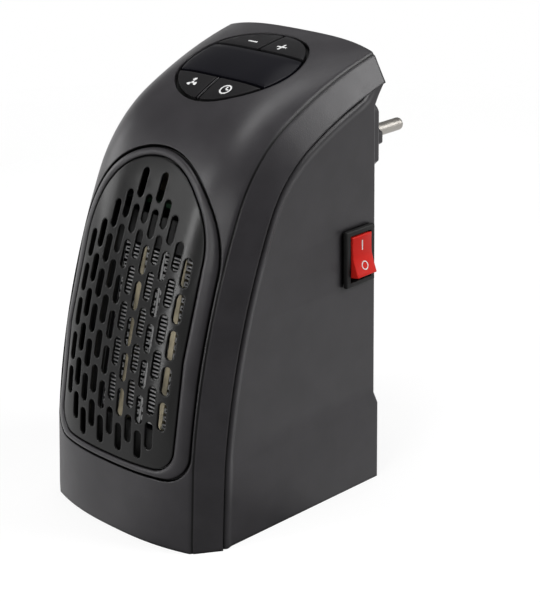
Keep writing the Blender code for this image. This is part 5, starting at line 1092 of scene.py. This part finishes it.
def button_skins():
    rear = (WINDOW_REAR_STATION + PANEL_GAP, PANEL_STATION + PANEL_HALF_ALONG * 2)
    front = (PANEL_STATION - PANEL_HALF_ALONG * 2, WINDOW_FRONT_STATION - PANEL_GAP)
    for name, side, ends in (("minus", -1, rear), ("plus", 1, rear), ("speed", -1, front), ("timer", 1, front)):
        loop = panel_part(side, *ends)
        if ends == front:
            loop = [(side * max(abs(x), SPLIT_GAP), station) for x, station in loop]
        skin(name + "_button", panel_plate(loop, BUTTON_LEVELS), name)


def button_marks():
    x, station, length, width = MARK_ACROSS, REAR_MARK_STATION, MARK_HALF_LENGTH, MARK_HALF_WIDTH
    arm = (length - width) / 2
    mark("minus_mark", bar(-x, station, length, width))
    mark("plus_mark_across", bar(x, station, length, width))
    mark("plus_mark_arm_up", bar(x, station + width + arm, width, arm))
    mark("plus_mark_arm_down", bar(x, station - width - arm, width, arm))
    x, station = FRONT_MARK_ACROSS, FRONT_MARK_STATION
    mark("speed_mark_hub", circle(-x, station, FAN_MARK_HUB))
    for index in range(3):
        turn = pi / 2 + index * 2 * pi / 3
        mark("speed_mark_blade_%d" % (index + 1), blade(-x, station, turn))
    rim = CLOCK_MARK_RADIUS - MARK_HALF_WIDTH * CLOCK_RIM_SHARE
    mark("timer_mark_rim", circle(x, station, CLOCK_MARK_RADIUS), circle(x, station, rim))
    long, short = [CLOCK_MARK_RADIUS * share for share in CLOCK_HAND_SHARES]
    mark("timer_mark_long_hand", bar(x, station + long, FINE_MARK_HALF_WIDTH, long))
    mark("timer_mark_short_hand", bar(x + FINE_MARK_HALF_WIDTH + short, station, short, FINE_MARK_HALF_WIDTH))


def panel_rib():
    start, end = PANEL_STATION - PANEL_HALF_ALONG + PANEL_GAP, WINDOW_FRONT_STATION - PANEL_GAP
    loop = bar(0.0, (start + end) / 2, RIB_HALF_WIDTH, (end - start) / 2)
    show("panel_rib", panel_plate(loop, BUTTON_LEVELS, FINE_ROUND / 2), "black_shell", "housing")


def rocker_height(share):
    """Height of the rocker's face above its base, from its middle (0) to an end (1 or -1)."""
    return ROCKER_CENTRE_HEIGHT + (ROCKER_END_HEIGHT - ROCKER_CENTRE_HEIGHT) * abs(share) ** ROCKER_POWER


def switch_skins():
    flange_top = SEAT_GAP + SWITCH_FLANGE_THICKNESS
    across, along = SWITCH_FLANGE_HALVES
    flange = rounded(box((SEAT_GAP, -across, -along), (flange_top, across, along)), SWITCH_ROUND, 3)
    across, along = SWITCH_BODY_HALVES
    body = box((-SWITCH_BODY_DEPTH, -across, -along), (SEAT_GAP + SWITCH_FLANGE_THICKNESS / 2, across, along))
    across = ROCKER_HALF_WIDTH + ROCKER_CLEARANCE
    swing = ROCKER_HALF_LENGTH * cos(ROCKER_TILT) + ROCKER_END_HEIGHT * sin(ROCKER_TILT)
    along = swing + ROCKER_CLEARANCE
    pocket = box((-SWITCH_BODY_DEPTH + SWITCH_FLOOR, -across, -along), (flange_top + CUT_OVERRUN, across, along))
    mesh = combined(combined(flange, [body], "UNION"), [pocket], "DIFFERENCE")
    skin("switch_frame", placed(mesh, SWITCH_MATRIX))


def rocker_skins():
    outline = [(-ROCKER_SKIRT_DEPTH, side * ROCKER_SKIRT_HALF_LENGTH) for side in (1, -1)]
    outline.append((0.0, -ROCKER_HALF_LENGTH))
    outline += [(rocker_height(share), ROCKER_HALF_LENGTH * share) for share in evenly(-1.0, 1.0, ROCKER_STEPS)]
    outline.append((0.0, ROCKER_HALF_LENGTH))
    plate = rounded(flat_plate([outline], -ROCKER_HALF_WIDTH, ROCKER_HALF_WIDTH), FINE_ROUND * 1.5, 2)
    pivot = SWITCH_MATRIX @ Matrix.Translation((-ROCKER_PIVOT_DEPTH, 0.0, 0.0)) @ Matrix.Rotation(-ROCKER_TILT, 4, "Y")
    skin("switch_rocker", placed(plate, pivot @ Matrix.Rotation(pi / 2, 4, "X")), "rocker")
    centre = ROCKER_HALF_LENGTH * ROCKER_MARK_SHARE
    ring = [circle(0.0, -centre, radius) for radius in (ROCKER_MARK_RADIUS, ROCKER_MARK_RADIUS - MARK_HALF_WIDTH)]
    stroke = bar(0.0, centre, FINE_MARK_HALF_WIDTH, ROCKER_MARK_RADIUS * ROCKER_STROKE_SHARE)
    for name, loops in (("rocker_mark_on", [stroke]), ("rocker_mark_off", ring)):
        flat = flat_plate(loops, -MARK_THICKNESS, MARK_THICKNESS)
        for vertex in flat.vertices:
            across, along, level = vertex.co
            share = min(abs(along) / ROCKER_HALF_LENGTH, 1.0)
            vertex.co = (rocker_height(share) + level, across, along)
        show(name, placed(flat, pivot), "white_print", "rocker")


def plug_skins():
    inner, start = BACK_Y - WALL - PLUG_NECK_INSET, BACK_Y + SEAT_GAP
    end = start + PLUG_DRUM_LENGTH
    face = end + PLUG_FACE_HEIGHT
    profile = [(0.0, end - inner)]
    profile += dome(PLUG_DRUM_RADIUS, end - inner, PLUG_DRUM_EDGE, PLUG_DRUM_EDGE, EDGE_STEPS)
    foot = PLUG_DRUM_EDGE / 4
    profile += [(PLUG_DRUM_RADIUS, start - inner + foot), (PLUG_DRUM_RADIUS - foot, start - inner)]
    profile += [(PLUG_NECK_RADIUS, start - inner), (PLUG_NECK_RADIUS, 0.0), (0.0, 0.0)]
    drum = eight_sided(along_y(turned(profile, DRUM_STEPS * 4), 0.0, inner, PLUG_Z))
    right = [
        (PIN_HALF_PITCH, -PLUG_FACE_HALF_WIDTH),
        (PLUG_FACE_HALF_LENGTH, -PLUG_FACE_TIP_HALF_WIDTH),
        (PLUG_FACE_HALF_LENGTH, PLUG_FACE_TIP_HALF_WIDTH),
        (PIN_HALF_PITCH, PLUG_FACE_HALF_WIDTH),
    ]
    outline = right + [(-across, -along) for across, along in right]
    platform = rounded(flat_plate([outline], end - PLUG_DRUM_EDGE, face), FINE_ROUND * 2, 3, PLATFORM_CORNER_TURN)
    bores = []
    tip = face + PIN_LENGTH - inner
    for side, name in ((-1, "plug_pin_left"), (1, "plug_pin_right")):
        x = side * PIN_HALF_PITCH
        bores.append(rod_y(PIN_RADIUS + SEAT_GAP, x, inner - CUT_OVERRUN, face + CUT_OVERRUN, PLUG_Z))
        nose = dome(PIN_RADIUS, tip, PIN_RADIUS, PIN_RADIUS * PIN_NOSE_SHARE, NOSE_STEPS)
        pin = nose + [(PIN_RADIUS, 0.0), (0.0, 0.0)]
        skin(name, along_y(turned(pin, DRUM_STEPS * 2), x, inner, PLUG_Z), "plug")
    platform = placed(platform, Matrix.Translation((0.0, 0.0, PLUG_Z)) @ TO_BACK)
    mesh = combined(combined(drum, [platform], "UNION"), bores, "DIFFERENCE")
    skin("plug_body", mesh, "plug")


def fin_skins():
    for name, reach in FIN_REACHES:
        for side, word in ((-1, "left"), (1, "right")):
            plate = flat_plate([fin_loop(side * reach)], -HEATER_DEPTH / 2, HEATER_DEPTH / 2)
            skin("heater_fin_%s_%s" % (name, word), placed(plate, HEATER_MATRIX))


def screw_skins():
    seat = BACK_Y - SCREW_WELL_DEPTH + SEAT_GAP
    half, thick = [SCREW_HEAD_RADIUS * share for share in RECESS_SHARES]
    low, high = seat + SCREW_HEAD_HEIGHT * RECESS_FLOOR, seat + SCREW_HEAD_HEIGHT * 2
    head = dome(
        SCREW_HEAD_RADIUS, SCREW_HEAD_HEIGHT, SCREW_HEAD_RADIUS, SCREW_HEAD_HEIGHT * SCREW_DOME_SHARE, HEAD_STEPS
    )
    head += [(SCREW_HEAD_RADIUS, 0.0), (SCREW_RADIUS, 0.0), (SCREW_RADIUS, -SCREW_LENGTH), (0.0, -SCREW_LENGTH)]
    for name, (x, z) in zip(("low_left", "low_right", "high_left", "high_right"), SHELL_SCREW_PLACES):
        crosses = [box((x - a, low, z - b), (x + a, high, z + b)) for a, b in ((half, thick), (thick, half))]
        mesh = combined(along_y(turned(head, DRUM_STEPS), x, seat, z), crosses, "DIFFERENCE")
        skin("shell_screw_" + name, mesh)


front_skin()
rear_skin()
bezel_skin()
grille_skin()
window_skin()
button_skins()
button_marks()
panel_rib()
switch_skins()
rocker_skins()
plug_skins()
fin_skins()
screw_skins()


def looked_at(tree):
    """One where the camera, a mirror or glass looks, and nothing for light on a surface."""
    camera, mirror, glass = [
        wired(tree, "LightPath", {}, "Is %s Ray" % way) for way in ("Camera", "Glossy", "Transmission")
    ]
    return maths(tree, "MAXIMUM", maths(tree, "MAXIMUM", camera, mirror), glass)


def room_shade(tree, way):
    mirror = ranged(tree, along_way(tree, way, DARK_SIDE), *DARK_SIDE_SPREAD, MIRROR_LEVEL, DARK_SIDE_LEVEL)
    return maths(tree, "MAXIMUM", mirror, wired(tree, "LightPath", {}, "Is Camera Ray"))


def make_world():
    """White round the horizon and below, grey overhead; a plain soft grey as light."""
    world = bpy.data.worlds.new("studio")
    world.use_nodes = True
    scene.world = world
    tree = world.node_tree
    way = wired(tree, "TexCoord", {}, "Generated")
    height = wired(tree, "SeparateXYZ", {"Vector": way}, "Z")
    level = maths(tree, "MULTIPLY", ranged(tree, height, 0.0, ROOM_RISE, 1.0, ROOM_GREY), room_shade(tree, way))
    soft, white = [
        wired(tree, "Background", {"Color": WHITE, "Strength": power}, "Background") for power in (AMBIENT, level)
    ]
    seen = wired(tree, "MixShader", {"Fac": looked_at(tree), 1: soft, 2: white}, "Shader")
    fill(tree.nodes["World Output"], {"Surface": seen})


def make_floor():
    """Pale floor that takes the shadow and runs out to white."""
    corners = [(x * FLOOR_REACH, y * FLOOR_REACH, 0.0) for x, y in ((-1, -1), (1, -1), (1, 1), (-1, 1))]
    mesh = bpy.data.meshes.new("floor")
    mesh.from_pydata(corners, [], [(0, 1, 2, 3)])
    floor = added("floor", mesh)
    made, tree, shader = new_material("floor_white")
    place = wired(tree, "TexCoord", {}, "Object")
    glow = maths(tree, "MULTIPLY", looked_at(tree), FLOOR_GLOW)
    way = wired(tree, "VectorMath", {0: place}, "Vector", "NORMALIZE")
    low, high = [(grey, grey, grey, 1.0) for grey in FLOOR_GREYS]
    fill(shader, {
        "Base Color": mixed(tree, noise(tree, *FLOOR_NOISE), low, high),
        "Roughness": FLOOR_ROUGHNESS,
        "Emission Color": WHITE,
        "Emission Strength": maths(tree, "MULTIPLY", glow, room_shade(tree, way)),
    })
    shader.inputs["Specular IOR Level"].default_value = 0.0
    far = wired(tree, "VectorMath", {0: place}, "Value", "LENGTH")
    clear = wired(tree, "BsdfTransparent", {}, "BSDF")
    layers = {"Fac": ranged(tree, far, *FLOOR_FADE), 1: shader.outputs["BSDF"], 2: clear}
    fill(tree.nodes["Material Output"], {"Surface": wired(tree, "MixShader", layers, "Shader")})
    mesh.materials.append(made)


def make_lamp(name, place, size, power):
    lamp = bpy.data.lights.new(name, "AREA")
    lamp.shape = "RECTANGLE"
    lamp.size, lamp.size_y = size
    lamp.energy = power
    holder = added(name, lamp)
    holder.rotation_mode = "QUATERNION"
    holder.location = place
    holder.rotation_quaternion = (Vector(TARGET) - Vector(place)).to_track_quat("-Z", "Y")


def make_camera():
    camera = bpy.data.cameras.new("camera")
    camera.lens = LENS
    camera.sensor_width = SENSOR
    camera.shift_x, camera.shift_y = SHIFT
    camera.clip_start, camera.clip_end = CLIP
    holder = added("camera", camera)
    columns = Matrix(CAMERA_AXES).transposed()
    holder.matrix_world = Matrix.Translation(CAMERA_PLACE) @ columns.to_4x4()
    scene.camera = holder


make_world()
make_floor()
for lamp in LAMPS:
    make_lamp(*lamp)
make_camera()
scene.view_settings.view_transform = "Standard"
